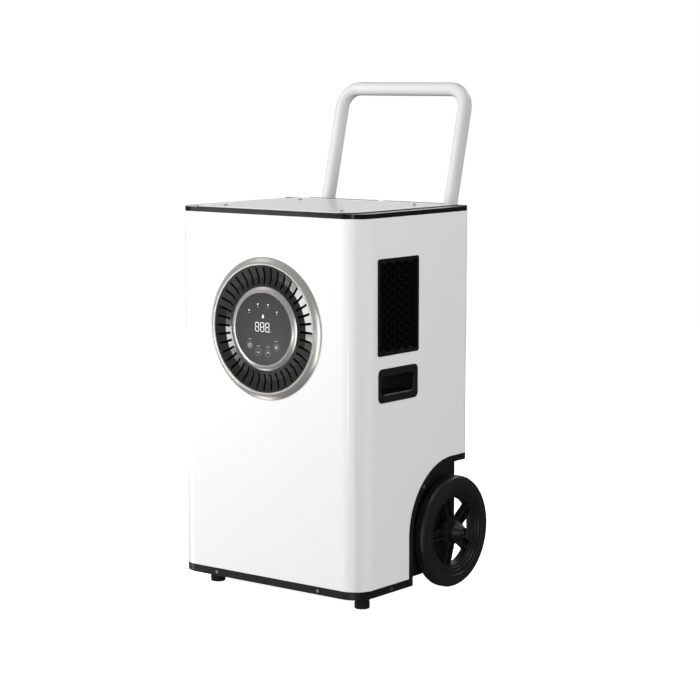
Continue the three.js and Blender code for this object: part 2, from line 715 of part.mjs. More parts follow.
function filterFrame() {
  const inner = FILTER_HALF - FILTER_BORDER;
  const outer = box(-FILTER_HALF, FILTER_HALF, FILTER_NEAR, FILTER_FAR, FILTER_LOW, FILTER_HIGH);
  const opening = box(-inner, inner, FILTER_NEAR - 1, FILTER_FAR + 1,
    FILTER_LOW + FILTER_BORDER, FILTER_HIGH - FILTER_BORDER);
  const tab = box(-35, 35, FILTER_NEAR, FILTER_FAR, FILTER_HIGH - 1, FILTER_HIGH + 14);
  return union(outer.subtract(opening), tab);
}

function filterMesh() {
  const inset = FILTER_BORDER + GAP;
  const middle = (FILTER_NEAR + FILTER_FAR) / 2;
  return box(inset - FILTER_HALF, FILTER_HALF - inset, middle - 0.8, middle + 0.8,
    FILTER_LOW + inset, FILTER_HIGH - inset);
}

node(cabinet, 'filter_frame', filterFrame(), BLACK_PLASTIC);
node(cabinet, 'filter_mesh', filterMesh(), FILTER_CLOTH);

// ---------------------------------------------------------------- wheels

const AXLE_HALF = WHEEL_X + 20;
const BUSH_OUTER = 13;
const HUB_RADIUS = 24;
const SPOKES = 5;
const SPOKE_REACH = 80.5;
const SPOKE_START = Math.PI / 5;

// Local +X points away from the cabinet, with the wheel's middle plane at x = 0.
const TYRE = [
  [RIM_RADIUS + GAP, -TYRE_HALF_WIDTH], [115, -TYRE_HALF_WIDTH], [WHEEL_RADIUS, -8],
  [WHEEL_RADIUS, 8], [115, TYRE_HALF_WIDTH], [RIM_RADIUS + GAP, TYRE_HALF_WIDTH],
];

const RIM_RING = [
  [RIM_RADIUS, -14], [RIM_RADIUS, 14], [87, 14], [77, 9], [77, -9], [87, -14],
];
const HUB = [
  [HUB_RADIUS, -17], [HUB_RADIUS, 12], [21, 17], [BUSH_OUTER + GAP, 17], [BUSH_OUTER + GAP, -17],
];

// Each spoke is a channel: a web with a rib along either edge, open to the outside.
function spoke(angle) {
  const section = polygon([
    [-7, -12], [8, -12], [8, -8], [-3, -8], [-3, 8], [8, 8], [8, 12], [-7, 12],
  ]);
  const channel = extruded(section, SPOKE_REACH - HUB_RADIUS, 1);
  return solid(channel.translate(0, 0, HUB_RADIUS - 2).rotateX(angle - Math.PI / 2));
}

function rim() {
  let wheel = union(turnedX(RIM_RING, 36), turnedX(HUB, 14));
  for (let i = 0; i < SPOKES; i += 1) {
    wheel = wheel.add(spoke(SPOKE_START + (2 * Math.PI * i) / SPOKES));
  }
  return wheel.subtract(turnedX(disc(BUSH_OUTER + GAP, -30, 30), 14));
}

const HUB_CAP = [
  [0, AXLE_HALF - WHEEL_X + 1], [9, AXLE_HALF - WHEEL_X + 1], [9, 17 + GAP], [24, 17 + GAP],
  [14, 36], [13, 37], [0, 37],
];

node(cabinet, 'axle',
  turnedX(disc(AXLE_RADIUS, -AXLE_HALF, AXLE_HALF), 14), STEEL, 0, WHEEL_Y, WHEEL_RADIUS);

for (const [side, direction] of SIDES) {
  const wheel = sideGroup(direction, WHEEL_X, WHEEL_Y, WHEEL_RADIUS);
  node(wheel, `tyre_${side}`, turnedX(TYRE, 36), RUBBER);
  node(wheel, `rim_${side}`, rim(), BLACK_PLASTIC);
  node(wheel, `bush_${side}`, turnedX(ring(AXLE_RADIUS + GAP, BUSH_OUTER, -17, 17), 14), BLACK_PLASTIC);
  node(wheel, `hub_cap_${side}`, turnedX(HUB_CAP, 16), BLACK_PLASTIC);
}

// ---------------------------------------------------------------- handle

function handleTube() {
  const upright = REAR + HANDLE_BACK;
  const corners = [
    [-HANDLE_X, upright, HANDLE_LOW], [-HANDLE_X, upright, HANDLE_BEND_Z],
    [-HANDLE_X, CROSSBAR_Y, HANDLE_TOP], [HANDLE_X, CROSSBAR_Y, HANDLE_TOP],
    [HANDLE_X, upright, HANDLE_BEND_Z], [HANDLE_X, upright, HANDLE_LOW],
  ];
  return rod(corners, TUBE_RADIUS, HANDLE_CORNER, 4, 12, Math.atan(HANDLE_LEAN));
}

node(cabinet, 'handle_tube', handleTube(), WHITE_PAINT);

const CLAMP_HEIGHT = 24;
const CLAMP_HALF_WIDTH = 30;
const CLAMP_PLATE = 3;

// A saddle round the tube, with two flat ears on the rear cover.
function handleClamp() {
  const axis = HANDLE_BACK - GAP;
  const inner = TUBE_RADIUS + GAP;
  const outer = inner + 3.5;
  const shape = new THREE.Shape();
  shape.moveTo(-CLAMP_HALF_WIDTH, 0);
  shape.lineTo(-inner, 0);
  shape.absarc(0, axis, inner, Math.PI, 0, true);
  shape.lineTo(inner, 0);
  shape.lineTo(CLAMP_HALF_WIDTH, 0);
  shape.lineTo(CLAMP_HALF_WIDTH, CLAMP_PLATE);
  shape.lineTo(outer, CLAMP_PLATE);
  shape.absarc(0, axis, outer, 0, Math.PI);
  shape.lineTo(-outer, CLAMP_PLATE);
  shape.lineTo(-CLAMP_HALF_WIDTH, CLAMP_PLATE);
  return prismZ(shape, -CLAMP_HEIGHT / 2, CLAMP_HEIGHT / 2, 8);
}

for (const [side, direction] of SIDES) {
  for (const [level, z] of [['lower', 362], ['upper', 748]]) {
    node(cabinet, `handle_clamp_${level}_${side}`, handleClamp(), DARK_STEEL,
      direction * HANDLE_X, REAR + GAP, z);
  }
}

// ---------------------------------------------------------------- inside: refrigeration

const COIL_HALF_WIDTH = 150;
const COIL_LOW = 394;
const COIL_HIGH = 726;
const EVAPORATOR_Y = [148, 186];
const CONDENSER_Y = [100, 138];
const FIN_PITCH = 20;
const FIN_WIDTH = 5;
const FIN_DEPTH = 32;

// Thick fins standing on a common back, with a deeper end block for the return bends.
function coil([near, far]) {
  const points = [[-COIL_HALF_WIDTH, near]];
  for (let x = -COIL_HALF_WIDTH; x < COIL_HALF_WIDTH; x += FIN_PITCH) {
    points.push([x + FIN_WIDTH, near], [x + FIN_WIDTH, near + FIN_DEPTH],
      [x + FIN_PITCH, near + FIN_DEPTH], [x + FIN_PITCH, near]);
  }
  points.push([COIL_HALF_WIDTH + 6, near], [COIL_HALF_WIDTH + 6, far], [-COIL_HALF_WIDTH, far]);
  return prismZ(polygon(points), COIL_LOW, COIL_HIGH);
}

node(cabinet, 'evaporator_coil', coil(EVAPORATOR_Y), ALUMINIUM);
node(cabinet, 'condenser_coil', coil(CONDENSER_Y), ALUMINIUM);

function drainPan() {
  const outer = box(-160, 162, 96, 192, 366, 390);
  const inner = box(-157, 159, 99, 189, 369, 395);
  const spout = prismZ(circle(120, 120, 8), 350, 368, 4);
  return union(outer.subtract(inner), spout).subtract(prismZ(circle(120, 120, 5), 340, 375, 3));
}

node(cabinet, 'drain_pan', drainPan(), BLACK_PLASTIC);

// A bell-shaped shell, open underneath.
const COMPRESSOR = [
  [0, 278], [40, 274], [63, 250], [63, 62], [70, 62], [75, 70], [75, 250], [66, 274], [45, 286],
  [0, 290],
];
const COMPRESSOR_X = -95;
const COMPRESSOR_Y = 40;
node(cabinet, 'compressor', turnedZ(COMPRESSOR, 20), DARK_STEEL, COMPRESSOR_X, COMPRESSOR_Y, 0);

const PUMP_X = 120;
node(cabinet, 'condensate_pump', box(PUMP_X - 45, PUMP_X + 45, 70, 130, 62, 140), BLACK_PLASTIC);

const PIPE_SIDES = 6;
const SUCTION_PIPE = [
  [COMPRESSOR_X - 50, COMPRESSOR_Y, 288], [COMPRESSOR_X - 50, COMPRESSOR_Y, 340],
  [-185, COMPRESSOR_Y, 340], [-185, 167, 340], [-185, 167, 440], [-COIL_HALF_WIDTH - 1, 167, 440],
];
node(cabinet, 'suction_pipe', rod(SUCTION_PIPE, 6, 14, 3, PIPE_SIDES), COPPER);
const DISCHARGE_PIPE = [
  [COMPRESSOR_X + 20, COMPRESSOR_Y, 291], [COMPRESSOR_X + 20, COMPRESSOR_Y, 325],
  [190, COMPRESSOR_Y, 325], [190, 119, 325], [190, 119, 470], [COIL_HALF_WIDTH + 7, 119, 470],
];
node(cabinet, 'discharge_pipe', rod(DISCHARGE_PIPE, 4, 14, 3, PIPE_SIDES), COPPER);
const DRAIN_HOSE = [[120, 120, 349], [120, 120, 250], [120, 100, 200], [120, 100, 141]];
node(cabinet, 'drain_hose', rod(DRAIN_HOSE, 7, 20, 3, PIPE_SIDES), RUBBER);

// ---------------------------------------------------------------- inside: fan

const SHROUD_Y = 84;
const BLADES = 6;

function fanShroud() {
  const plate = box(-200, 200, SHROUD_Y, SHROUD_Y + 3, AIR_Z - 166, AIR_Z + 166);
  const collar = prismY(circle(0, AIR_Z, FAN_RADIUS + 5), SHROUD_Y - 44, SHROUD_Y + 1, 14);
  const bore = prismY(circle(0, AIR_Z, FAN_RADIUS + 2.5), SHROUD_Y - 60, SHROUD_Y + 10, 14);
  const arms = [0, 1].map((i) => {
    const arm = new THREE.BoxGeometry(2 * FAN_RADIUS + 8, 6, 16);
    return solid(arm.rotateY((i * Math.PI) / 2 + Math.PI / 4).translate(0, SHROUD_Y - 41, AIR_Z));
  });
  const seat = prismY(circle(0, AIR_Z, 48), SHROUD_Y - 44, SHROUD_Y - 38, 8);
  const shaftHole = prismY(circle(0, AIR_Z, 7), SHROUD_Y - 60, SHROUD_Y, 4);
  return union(union(plate, collar).subtract(bore), ...arms, seat).subtract(shaftHole);
}

node(cabinet, 'fan_shroud', fanShroud(), BLACK_PLASTIC);

function fanMotor() {
  const front = SHROUD_Y - 44 - GAP;
  return prismY(circle(0, AIR_Z, 42), front - 62, front, 8)
    .subtract(prismY(circle(0, AIR_Z, 6), front - 50, front + 1, 4));
}

node(cabinet, 'fan_motor', fanMotor(), STEEL);
node(cabinet, 'motor_shaft',
  prismY(circle(0, AIR_Z, 5), SHROUD_Y - 80, SHROUD_Y, 4), STEEL);

function fanBlade(angle) {
  const blade = new THREE.BoxGeometry(60, 3, FAN_RADIUS - 38);
  blade.rotateZ(0.45).translate(0, 0, 36 + (FAN_RADIUS - 38) / 2);
  return solid(blade.rotateY(angle).translate(0, SHROUD_Y - 19, AIR_Z));
}

function fanImpeller() {
  let impeller = prismY(circle(0, AIR_Z, 40), SHROUD_Y - 34, SHROUD_Y - 4, 8);
  for (let i = 0; i < BLADES; i += 1) {
    impeller = impeller.add(fanBlade((2 * Math.PI * i) / BLADES));
  }
  return impeller.subtract(prismY(circle(0, AIR_Z, 5 + GAP), SHROUD_Y - 60, SHROUD_Y + 10, 4));
}

node(cabinet, 'fan_impeller', fanImpeller(), BLACK_PLASTIC);

// ---------------------------------------------------------------- rear fittings and screws

const OUTLET = [
  [7, -14], [OUTLET_HOLE - 1, -14], [OUTLET_HOLE - 1, GAP], [19, GAP], [19, 4], [11, 4],
  [11, 24], [9.5, 28], [7, 28],
];
node(cabinet, 'drain_outlet', turnedY(OUTLET, 14), BLACK_PLASTIC, OUTLET_X, REAR, REAR_FITTING_Z);

const GLAND = [
  [0, -10], [GLAND_HOLE - 1, -10], [GLAND_HOLE - 1, GAP], [15, GAP], [15, 6], [11, 8],
  [9, 20], [5, 20], [5, 4], [0, 4],
];
node(cabinet, 'cord_gland', turnedY(GLAND, 14), BLACK_PLASTIC, GLAND_X, REAR, REAR_FITTING_Z);

const HEAD_RADIUS = 4;

// A pan head screw standing on a face at height 0.
function screw(length) {
  return turnedY([
    [0, -length], [SCREW_SHANK, -length], [SCREW_SHANK, GAP], [HEAD_RADIUS, GAP],
    [HEAD_RADIUS, 1.4], [2.6, 2.5], [0, 2.7],
  ], 8);
}

const OUTWARDS = -Math.PI / 2;        // turns a screw to point along +X

for (const [side, direction] of SIDES) {
  const frontScrew = node(cabinet, `front_screw_${side}`, screw(SCREW_LENGTH), STEEL,
    direction * FRONT_SCREW_X, FRONT, BASE_SCREW_Z);
  frontScrew.rotation.x = Math.PI;
  const sideScrews = sideGroup(direction, SIDE, SIDE_SCREW_Y, BASE_SCREW_Z);
  node(sideScrews, `side_screw_${side}`, screw(SCREW_LENGTH), DARK_STEEL).rotation.z = OUTWARDS;
  const archScrews = sideGroup(direction, SIDE, ARCH_SCREW_Y, ARCH_SCREW_Z);
  node(archScrews, `arch_screw_${side}`, screw(SCREW_LENGTH), DARK_STEEL).rotation.z = OUTWARDS;
  for (const [end, y] of LID_SCREWS) {
    const lidScrew = node(cabinet, `lid_screw_${end}_${side}`, screw(LID_THICKNESS), DARK_STEEL,
      direction * LID_SCREW_X, y, LID_TOP);
    lidScrew.rotation.x = Math.PI / 2;
  }
}

export default cabinet;
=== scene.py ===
import math

import bmesh
import bpy
from mathutils import Matrix, Vector


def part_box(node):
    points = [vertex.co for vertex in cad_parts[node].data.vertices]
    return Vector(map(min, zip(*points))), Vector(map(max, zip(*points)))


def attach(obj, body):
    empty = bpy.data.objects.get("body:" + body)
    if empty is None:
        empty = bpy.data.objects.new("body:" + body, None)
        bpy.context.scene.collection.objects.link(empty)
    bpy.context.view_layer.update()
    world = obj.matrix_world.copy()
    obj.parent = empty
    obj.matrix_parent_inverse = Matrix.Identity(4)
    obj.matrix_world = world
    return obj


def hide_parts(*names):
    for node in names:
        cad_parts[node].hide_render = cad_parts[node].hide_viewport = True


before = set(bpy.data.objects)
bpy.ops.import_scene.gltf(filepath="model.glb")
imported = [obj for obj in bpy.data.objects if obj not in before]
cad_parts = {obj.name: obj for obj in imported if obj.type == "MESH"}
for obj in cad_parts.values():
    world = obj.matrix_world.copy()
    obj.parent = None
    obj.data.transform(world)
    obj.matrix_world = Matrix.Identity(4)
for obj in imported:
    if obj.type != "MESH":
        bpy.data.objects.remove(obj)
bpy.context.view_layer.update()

# ------------ camera

CAMERA_AZIMUTH = math.radians(37.92)
CAMERA_ELEVATION = math.radians(7.436)
CAMERA_TARGET = Vector((0.0199, 0.0155, 0.5233))
CAMERA_DISTANCE = 4.7464
CAMERA_LENS = 108.9


def direction(azimuth, elevation):
    """A unit vector from the object, azimuth 0 being straight out of the front."""
    return Vector((
        math.sin(azimuth) * math.cos(elevation),
        -math.cos(azimuth) * math.cos(elevation),
        math.sin(elevation),
    ))


def new_object(name, data):
    obj = bpy.data.objects.new(name, data)
    bpy.context.scene.collection.objects.link(obj)
    return obj


def add_camera():
    data = bpy.data.cameras.new("camera")
    data.lens = CAMERA_LENS
    camera = new_object("camera", data)
    back = direction(CAMERA_AZIMUTH, CAMERA_ELEVATION)
    camera.location = CAMERA_TARGET + back * CAMERA_DISTANCE
    camera.rotation_euler = (-back).to_track_quat("-Z", "Y").to_euler()
    bpy.context.scene.camera = camera


add_camera()

# ------------ dimensions
# Shapes are drawn in millimetres about the middle of the cabinet's plan, on the floor.

MM = 0.001
GAP = 0.3
MIDDLE = Vector((0, (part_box("front_wrap")[0].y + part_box("rear_cover")[1].y) / 2, 0))


def measured(node):
    """A CAD node's lowest and highest corner, in millimetres about the cabinet's middle."""
    low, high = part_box(node)
    return (low - MIDDLE) / MM, (high - MIDDLE) / MM


def size_of(node):
    low, high = measured(node)
    return high - low


def centre_of(node):
    low, high = measured(node)
    return (low + high) / 2


WRAP_LOW, WRAP_HIGH = measured("front_wrap")
SHELL_LOW = WRAP_LOW.z
SHELL_TOP = WRAP_HIGH.z
SIDE = WRAP_HIGH.x
FRONT = WRAP_LOW.y
SEAM = WRAP_HIGH.y
REAR = measured("rear_cover")[1].y
BASE_LOW = measured("base_tray")[0].z
BASE_TOP = SHELL_LOW - GAP
WALL = 2.5
FRONT_CORNER = 47
REAR_CORNER = 20

ARCH_RADIUS = 160
ARCH_RIM = 15
ARCH_START, ARCH_END = measured("wheel_arch_right")
ARCH_WALL = ARCH_START.x
ARCH_Y = ARCH_START.y - GAP + ARCH_RADIUS
ARCH_Z = ARCH_END.z + GAP - ARCH_RADIUS

WHEEL = centre_of("tyre_right")
WHEEL_RADIUS = measured("tyre_right")[1].z - WHEEL.z
TYRE_HALF = measured("tyre_right")[1].x - WHEEL.x
RIM_RADIUS = 95
HUB_RADIUS = 24
HUB_END = measured("hub_cap_right")[1].x - WHEEL.x

DIAL = Vector((0, FRONT, centre_of("dial_outer_ring").z))
DIAL_RADIUS = measured("dial_outer_ring")[1].x
DIAL_PROUD = FRONT - measured("dial_outer_ring")[0].y

GRILLE = centre_of("side_grille_right")
GRILLE_LENGTH, GRILLE_HEIGHT = size_of("side_grille_right").yz
GRIP = centre_of("hand_grip_right")
GRIP_LENGTH, GRIP_HEIGHT = size_of("hand_grip_right").yz
GRIP_DEPTH = SIDE - measured("hand_grip_right")[0].x
BEZEL_PROUD = measured("hand_grip_right")[1].x - SIDE

TUBE_RADIUS = 15.5
HANDLE_START, HANDLE_END = measured("handle_tube")
HANDLE_LOW = HANDLE_START.z
HANDLE_TOP = HANDLE_END.z - TUBE_RADIUS
HANDLE_REAR = HANDLE_END.y - TUBE_RADIUS
HANDLE_X = centre_of("handle_clamp_upper_right").x
HANDLE_BACK = 19.5
HANDLE_BEND = 779
HANDLE_CORNER = 45

# ------------ meshes

# For each axis, the coordinates that a flat outline's two numbers stand for.
PLANES = {"X": (1, 2, 0), "Y": (0, 2, 1), "Z": (0, 1, 2)}


def spot(axis, across, up, along):
    """A point from its place in an outline and its place along the axis."""
    place = [0, 0, 0]
    for index, value in zip(PLANES[axis], (across, up, along)):
        place[index] = value
    return place


def closed_mesh(vertices, faces):
    mesh = bpy.data.meshes.new("solid")
    mesh.from_pydata(vertices, [], faces)
    return reworked(mesh, bmesh.ops.recalc_face_normals, "faces")


def reworked(mesh, operation, *kinds, **options):
    """The mesh after one bmesh operation on all of its elements of some kinds."""
    work = bmesh.new()
    work.from_mesh(mesh)
    operation(work, **{kind: getattr(work, kind)[:] for kind in kinds}, **options)
    work.to_mesh(mesh)
    work.free()
    return mesh


def prism(points, axis, low, high, far=None):
    """An outline swept straight along an axis, or drawn out to another outline at its high end."""
    count = len(points)
    vertices = [spot(axis, u, v, low) for u, v in points]
    vertices += [spot(axis, u, v, high) for u, v in far or points]
    faces = [list(range(count)), list(range(count, 2 * count))]
    for i in range(count):
        j = (i + 1) % count
        faces.append([i, j, j + count, i + count])
    return closed_mesh(vertices, faces)


def block(x0, x1, y0, y1, z0, z1):
    return prism([(x0, y0), (x1, y0), (x1, y1), (x0, y1)], "Z", z0, z1)


def turned(profile, axis, steps, sign=1):
    """A closed profile of (radius, height) pairs turned about an axis through the origin."""
    vertices = []
    rows = []
    for radius, height in profile:
        if radius == 0:
            rows.append([len(vertices)] * steps)
            vertices.append(spot(axis, 0, 0, sign * height))
            continue
        rows.append(list(range(len(vertices), len(vertices) + steps)))
        for i in range(steps):
            angle = 2 * math.pi * i / steps
            vertices.append(
                spot(axis, radius * math.cos(angle), radius * math.sin(angle), sign * height))
    faces = []
    for row, after in zip(rows, rows[1:] + rows[:1]):
        for i in range(steps):
            j = (i + 1) % steps
            corners = list(dict.fromkeys([row[i], row[j], after[j], after[i]]))
            if len(corners) > 2:
                faces.append(corners)
    return closed_mesh(vertices, faces)


def rounded_route(corners, radius, steps):
    """A route of straight runs whose corners are arcs."""
    corners = [Vector(corner) for corner in corners]
    route = [corners[0]]
    for before, corner, after in zip(corners, corners[1:], corners[2:]):
        back = (before - corner).normalized()
        ahead = (after - corner).normalized()
        half = back.angle(ahead) / 2
        centre = corner + (back + ahead).normalized() * radius / math.sin(half)
        start = corner + back * radius / math.tan(half) - centre
        end = corner + ahead * radius / math.tan(half) - centre
        for i in range(steps + 1):
            arm = start.normalized().slerp(end.normalized(), i / steps)
            route.append(centre + arm * radius)
    route.append(corners[-1])
    return route


def swept(route, radius, sides):
    """A round bar along a route, closed at both ends."""
    heading = (route[1] - route[0]).normalized()
    arm = heading.orthogonal().normalized()
    vertices = []
    for i, point in enumerate(route):
        before = route[max(i - 1, 0)]
        after = route[min(i + 1, len(route) - 1)]
        new_heading = ((point - before).normalized() + (after - point).normalized()).normalized()
        arm = heading.rotation_difference(new_heading) @ arm
        heading = new_heading
        for k in range(sides):
            turn = Matrix.Rotation(2 * math.pi * k / sides, 3, heading)
            vertices.append(point + turn @ arm * radius)
    faces = [list(range(sides)), list(range(len(vertices) - sides, len(vertices)))]
    for i in range(len(route) - 1):
        for k in range(sides):
            near = i * sides
            m = (k + 1) % sides
            faces.append([near + k, near + m, near + sides + m, near + sides + k])
    return closed_mesh(vertices, faces)


def changed(mesh, matrix):
    """A moved, turned or mirrored copy."""
    copy = mesh.copy()
    copy.transform(matrix)
    if matrix.determinant() < 0:
        copy.flip_normals()
    return copy


def mirrored(mesh):
    return changed(mesh, Matrix.Diagonal((-1, 1, 1, 1)))


def spun(mesh, degrees, axis):
    return changed(mesh, Matrix.Rotation(math.radians(degrees), 4, axis))


def joined(meshes):
    """Separate bodies in one mesh."""
    work = bmesh.new()
    for mesh in meshes:
        work.from_mesh(mesh)
    result = bpy.data.meshes.new("solid")
    work.to_mesh(result)
    work.free()
    return result


def combined(operation, base, *others):
    """The result of a boolean operation with each of the other meshes in turn."""
    target = new_object("target", base)
    tools = []
    for other in others:
        tool = new_object("tool", other)
        modifier = target.modifiers.new("combine", "BOOLEAN")
        modifier.operation = operation
        modifier.solver = "MANIFOLD"
        modifier.object = tool
        tools.append(tool)
    bpy.context.view_layer.update()
    graph = bpy.context.evaluated_depsgraph_get()
    result = bpy.data.meshes.new_from_object(target.evaluated_get(graph))
    for item in [target, *tools]:
        bpy.data.objects.remove(item)
    reworked(result, bmesh.ops.remove_doubles, "verts", dist=0.002)
    return result


def union(base, *others):
    return combined("UNION", base, *others)


def cut(base, *others):
    return combined("DIFFERENCE", base, *others)


def overlap(base, *others):
    return combined("INTERSECT", base, *others)


# ------------ outlines


def arc(x, y, radius, start, end, steps):
    """Points along an arc between two angles in degrees, both ends included."""
    angles = [math.radians(start + (end - start) * i / steps) for i in range(steps + 1)]
    return [(x + radius * math.cos(a), y + radius * math.sin(a)) for a in angles]


def circle(x, y, radius, steps=48):
    return arc(x, y, radius, 0, 360 - 360 / steps, steps - 1)


def rounded(length, height, radius, x=0, y=0, steps=8):
    """A rounded rectangle about a point."""
    right = length / 2 - radius
    top = height / 2 - radius
    return [
        *arc(x + right, y - top, radius, -90, 0, steps),
        *arc(x + right, y + top, radius, 0, 90, steps),
        *arc(x - right, y + top, radius, 90, 180, steps),
        *arc(x - right, y - top, radius, 180, 270, steps),
    ]


def turned_points(points, degrees):
    """An outline turned about the origin."""
    turn = Matrix.Rotation(math.radians(degrees), 2)
    return [tuple(turn @ Vector(point)) for point in points]


def plan(inset):
    """The cabinet's outline from above, moved inwards."""
    side = SIDE - inset
    front = FRONT + inset
    rear = REAR - inset
    near = FRONT_CORNER - inset
    far = REAR_CORNER - inset
    return [
        *arc(side - near, front + near, near, -90, 0, 24),
        *arc(side - far, rear - far, far, 0, 90, 12),
        *arc(far - side, rear - far, far, 90, 180, 12),
        *arc(near - side, front + near, near, 180, 270, 24),
    ]


def arch(radius):
    """The wheel arch from the side: up, round and level to the rear."""
    return [
        (ARCH_Y - radius, -10),
        *arc(ARCH_Y, ARCH_Z, radius, 180, 90, 40),
        (REAR + 20, ARCH_Z + radius),
        (REAR + 20, -10),
    ]


def shell(low, high):
    return cut(prism(plan(0), "Z", low, high), prism(plan(WALL), "Z", low - 1, high + 1))


# ------------ materials


class Shader:
    """A Principled material whose inputs are fed by procedural textures."""

    def __init__(self, name, colour, roughness, **settings):
        self.material = bpy.data.materials.new(name)
        self.material.use_nodes = True
        self.nodes = self.material.node_tree.nodes
        self.links = self.material.node_tree.links
        self.shader = self.nodes["Principled BSDF"]
        self.colour = colour
        self.roughness = roughness
        for socket, value in settings.items():
            self.shader.inputs[socket.replace("_", " ")].default_value = value

    def add(self, kind, inputs=None, **properties):
        """Adds a node. Inputs are constants or other nodes' outputs."""
        node = self.nodes.new(kind)
        for name, value in properties.items():
            setattr(node, name, value)
        for key, value in (inputs or {}).items():
            if isinstance(value, bpy.types.NodeSocket):
                self.links.new(value, node.inputs[key])
            else:
                node.inputs[key].default_value = value
        return node

    def link(self, output, socket):
        self.links.new(output, self.shader.inputs[socket])

    def place(self):
        return self.add("ShaderNodeTexCoord").outputs["Object"]

    def noise(self, scale, detail=2, vector=None):
        inputs = {"Vector": vector or self.place(), "Scale": scale, "Detail": detail}
        return self.add("ShaderNodeTexNoise", inputs).outputs["Fac"]

    def between(self, factor, low, high):
        """A number that runs from low to high with a factor."""
        inputs = {"Value": factor, "From Min": 0.1, "From Max": 0.9, "To Min": low, "To Max": high}
        return self.add("ShaderNodeMapRange", inputs).outputs["Result"]

    def mixed(self, factor, first, second):
        node = self.add("ShaderNodeMix", data_type="RGBA")
        self.links.new(factor, node.inputs[0])
        node.inputs[6].default_value = (*first, 1)
        node.inputs[7].default_value = (*second, 1)
        return node.outputs[2]

    def mottle(self, scale, amount):
        """The base colour, a little darker and lighter in soft patches."""
        darker = [c * (1 - amount) for c in self.colour]
        lighter = [min(1, c * (1 + amount)) for c in self.colour]
        self.link(self.mixed(self.noise(scale, 3), darker, lighter), "Base Color")

    def uneven(self, scale, amount):
        """The roughness, a little up and down in soft patches."""
        self.link(
            self.between(self.noise(scale, 3), self.roughness - amount, self.roughness + amount),
            "Roughness")

    def bump(self, height, depth, strength=1.0):
        """Fine relief of a given depth in millimetres."""
        inputs = {"Height": height, "Strength": strength, "Distance": depth * MM}
        self.link(self.add("ShaderNodeBump", inputs).outputs["Normal"], "Normal")


def plastic(name, colour, roughness, grain, depth, tint=0.05, spread=0.04, **settings):
    """Moulded plastic or paint: faint patches, uneven gloss and a fine grain."""
    made = Shader(name, colour, roughness, **settings)
    made.mottle(6, tint)
    made.uneven(25, spread)
    made.bump(made.noise(grain, 4), depth)
    return made.material


def metal(name, colour, roughness, along, depth=0.02, **settings):
    """Drawn or brushed metal, its marks stretched along the object's axes."""
    made = Shader(name, colour, roughness, Metallic=1.0, **settings)
    made.mottle(30, 0.08)
    stretched = made.add("ShaderNodeMapping", {"Vector": made.place(), "Scale": along})
    marks = made.noise(1, 3, stretched.outputs["Vector"])
    made.link(made.between(marks, roughness - 0.07, roughness + 0.07), "Roughness")
    made.bump(marks, depth)
    return made.material


def brushed_ring(name, colour, roughness):
    """Metal brushed in circles about the object's own Y axis."""
    made = Shader(name, colour, roughness, Metallic=0.72, Anisotropic=0.4)
    flat = made.add("ShaderNodeMapping", {"Vector": made.place(), "Scale": (1, 0, 1)})
    radius = made.add(
        "ShaderNodeVectorMath", {0: flat.outputs["Vector"]}, operation="LENGTH").outputs["Value"]
    rings = made.noise(1800, 2, made.add("ShaderNodeCombineXYZ", {"X": radius}).outputs["Vector"])
    made.link(made.mixed(rings, [c * 0.97 for c in colour], colour), "Base Color")
    made.link(made.between(rings, roughness - 0.03, roughness + 0.03), "Roughness")
    made.link(
        made.add("ShaderNodeTangent", direction_type="RADIAL", axis="Y").outputs["Tangent"],
        "Tangent")
    made.bump(rings, 0.001)
    return made.material


def tyre_rubber(name):
    """Rubber with a fine grain and a little dust in its low spots."""
    made = Shader(name, (0.01, 0.01, 0.0105), 0.38, Specular_IOR_Level=0.5)
    dust = made.noise(45, 6)
    made.link(made.mixed(dust, (0.007, 0.007, 0.0075), (0.015, 0.015, 0.015)), "Base Color")
    made.uneven(60, 0.06)
    made.bump(made.noise(1400, 3), 0.03)
    return made.material


def woven(name):
    """Filter cloth: two crossed sets of fine threads."""
    made = Shader(name, (0.03, 0.032, 0.035), 0.8, Sheen_Weight=0.2)
    waves = [
        made.add(
            "ShaderNodeTexWave", {"Vector": made.place(), "Scale": 260, "Distortion": 0.6},
            bands_direction=axis).outputs["Fac"]
        for axis in ("X", "Z")
    ]
    threads = made.add("ShaderNodeMath", {0: waves[0], 1: waves[1]}, operation="MAXIMUM")
    made.link(
        made.mixed(threads.outputs["Value"], (0.008, 0.008, 0.009), (0.075, 0.08, 0.085)),
        "Base Color")
    made.uneven(50, 0.06)
    made.bump(threads.outputs["Value"], 0.25)
    return made.material


def fin_stock(name):
    """Thin aluminium fins, streaked along their height."""
    made = Shader(name, (0.62, 0.63, 0.65), 0.42, Metallic=1.0)
    tall = made.add("ShaderNodeMapping", {"Vector": made.place(), "Scale": (400, 400, 6)})
    streaks = made.noise(1, 3, tall.outputs["Vector"])
    made.link(made.mixed(streaks, (0.5, 0.51, 0.53), (0.68, 0.69, 0.71)), "Base Color")
    made.uneven(40, 0.06)
    made.bump(streaks, 0.05)
    return made.material


def board(name):
    """Solder mask with a pattern of tracks under it."""
    made = Shader(name, (0.02, 0.12, 0.05), 0.4)
    cells = made.add(
        "ShaderNodeTexVoronoi", {"Vector": made.place(), "Scale": 260}, distance="CHEBYCHEV")
    tracks = cells.outputs["Distance"]
    made.link(made.mixed(tracks, (0.015, 0.09, 0.04), (0.05, 0.2, 0.09)), "Base Color")
    made.uneven(90, 0.05)
    made.bump(tracks, 0.08)
    return made.material


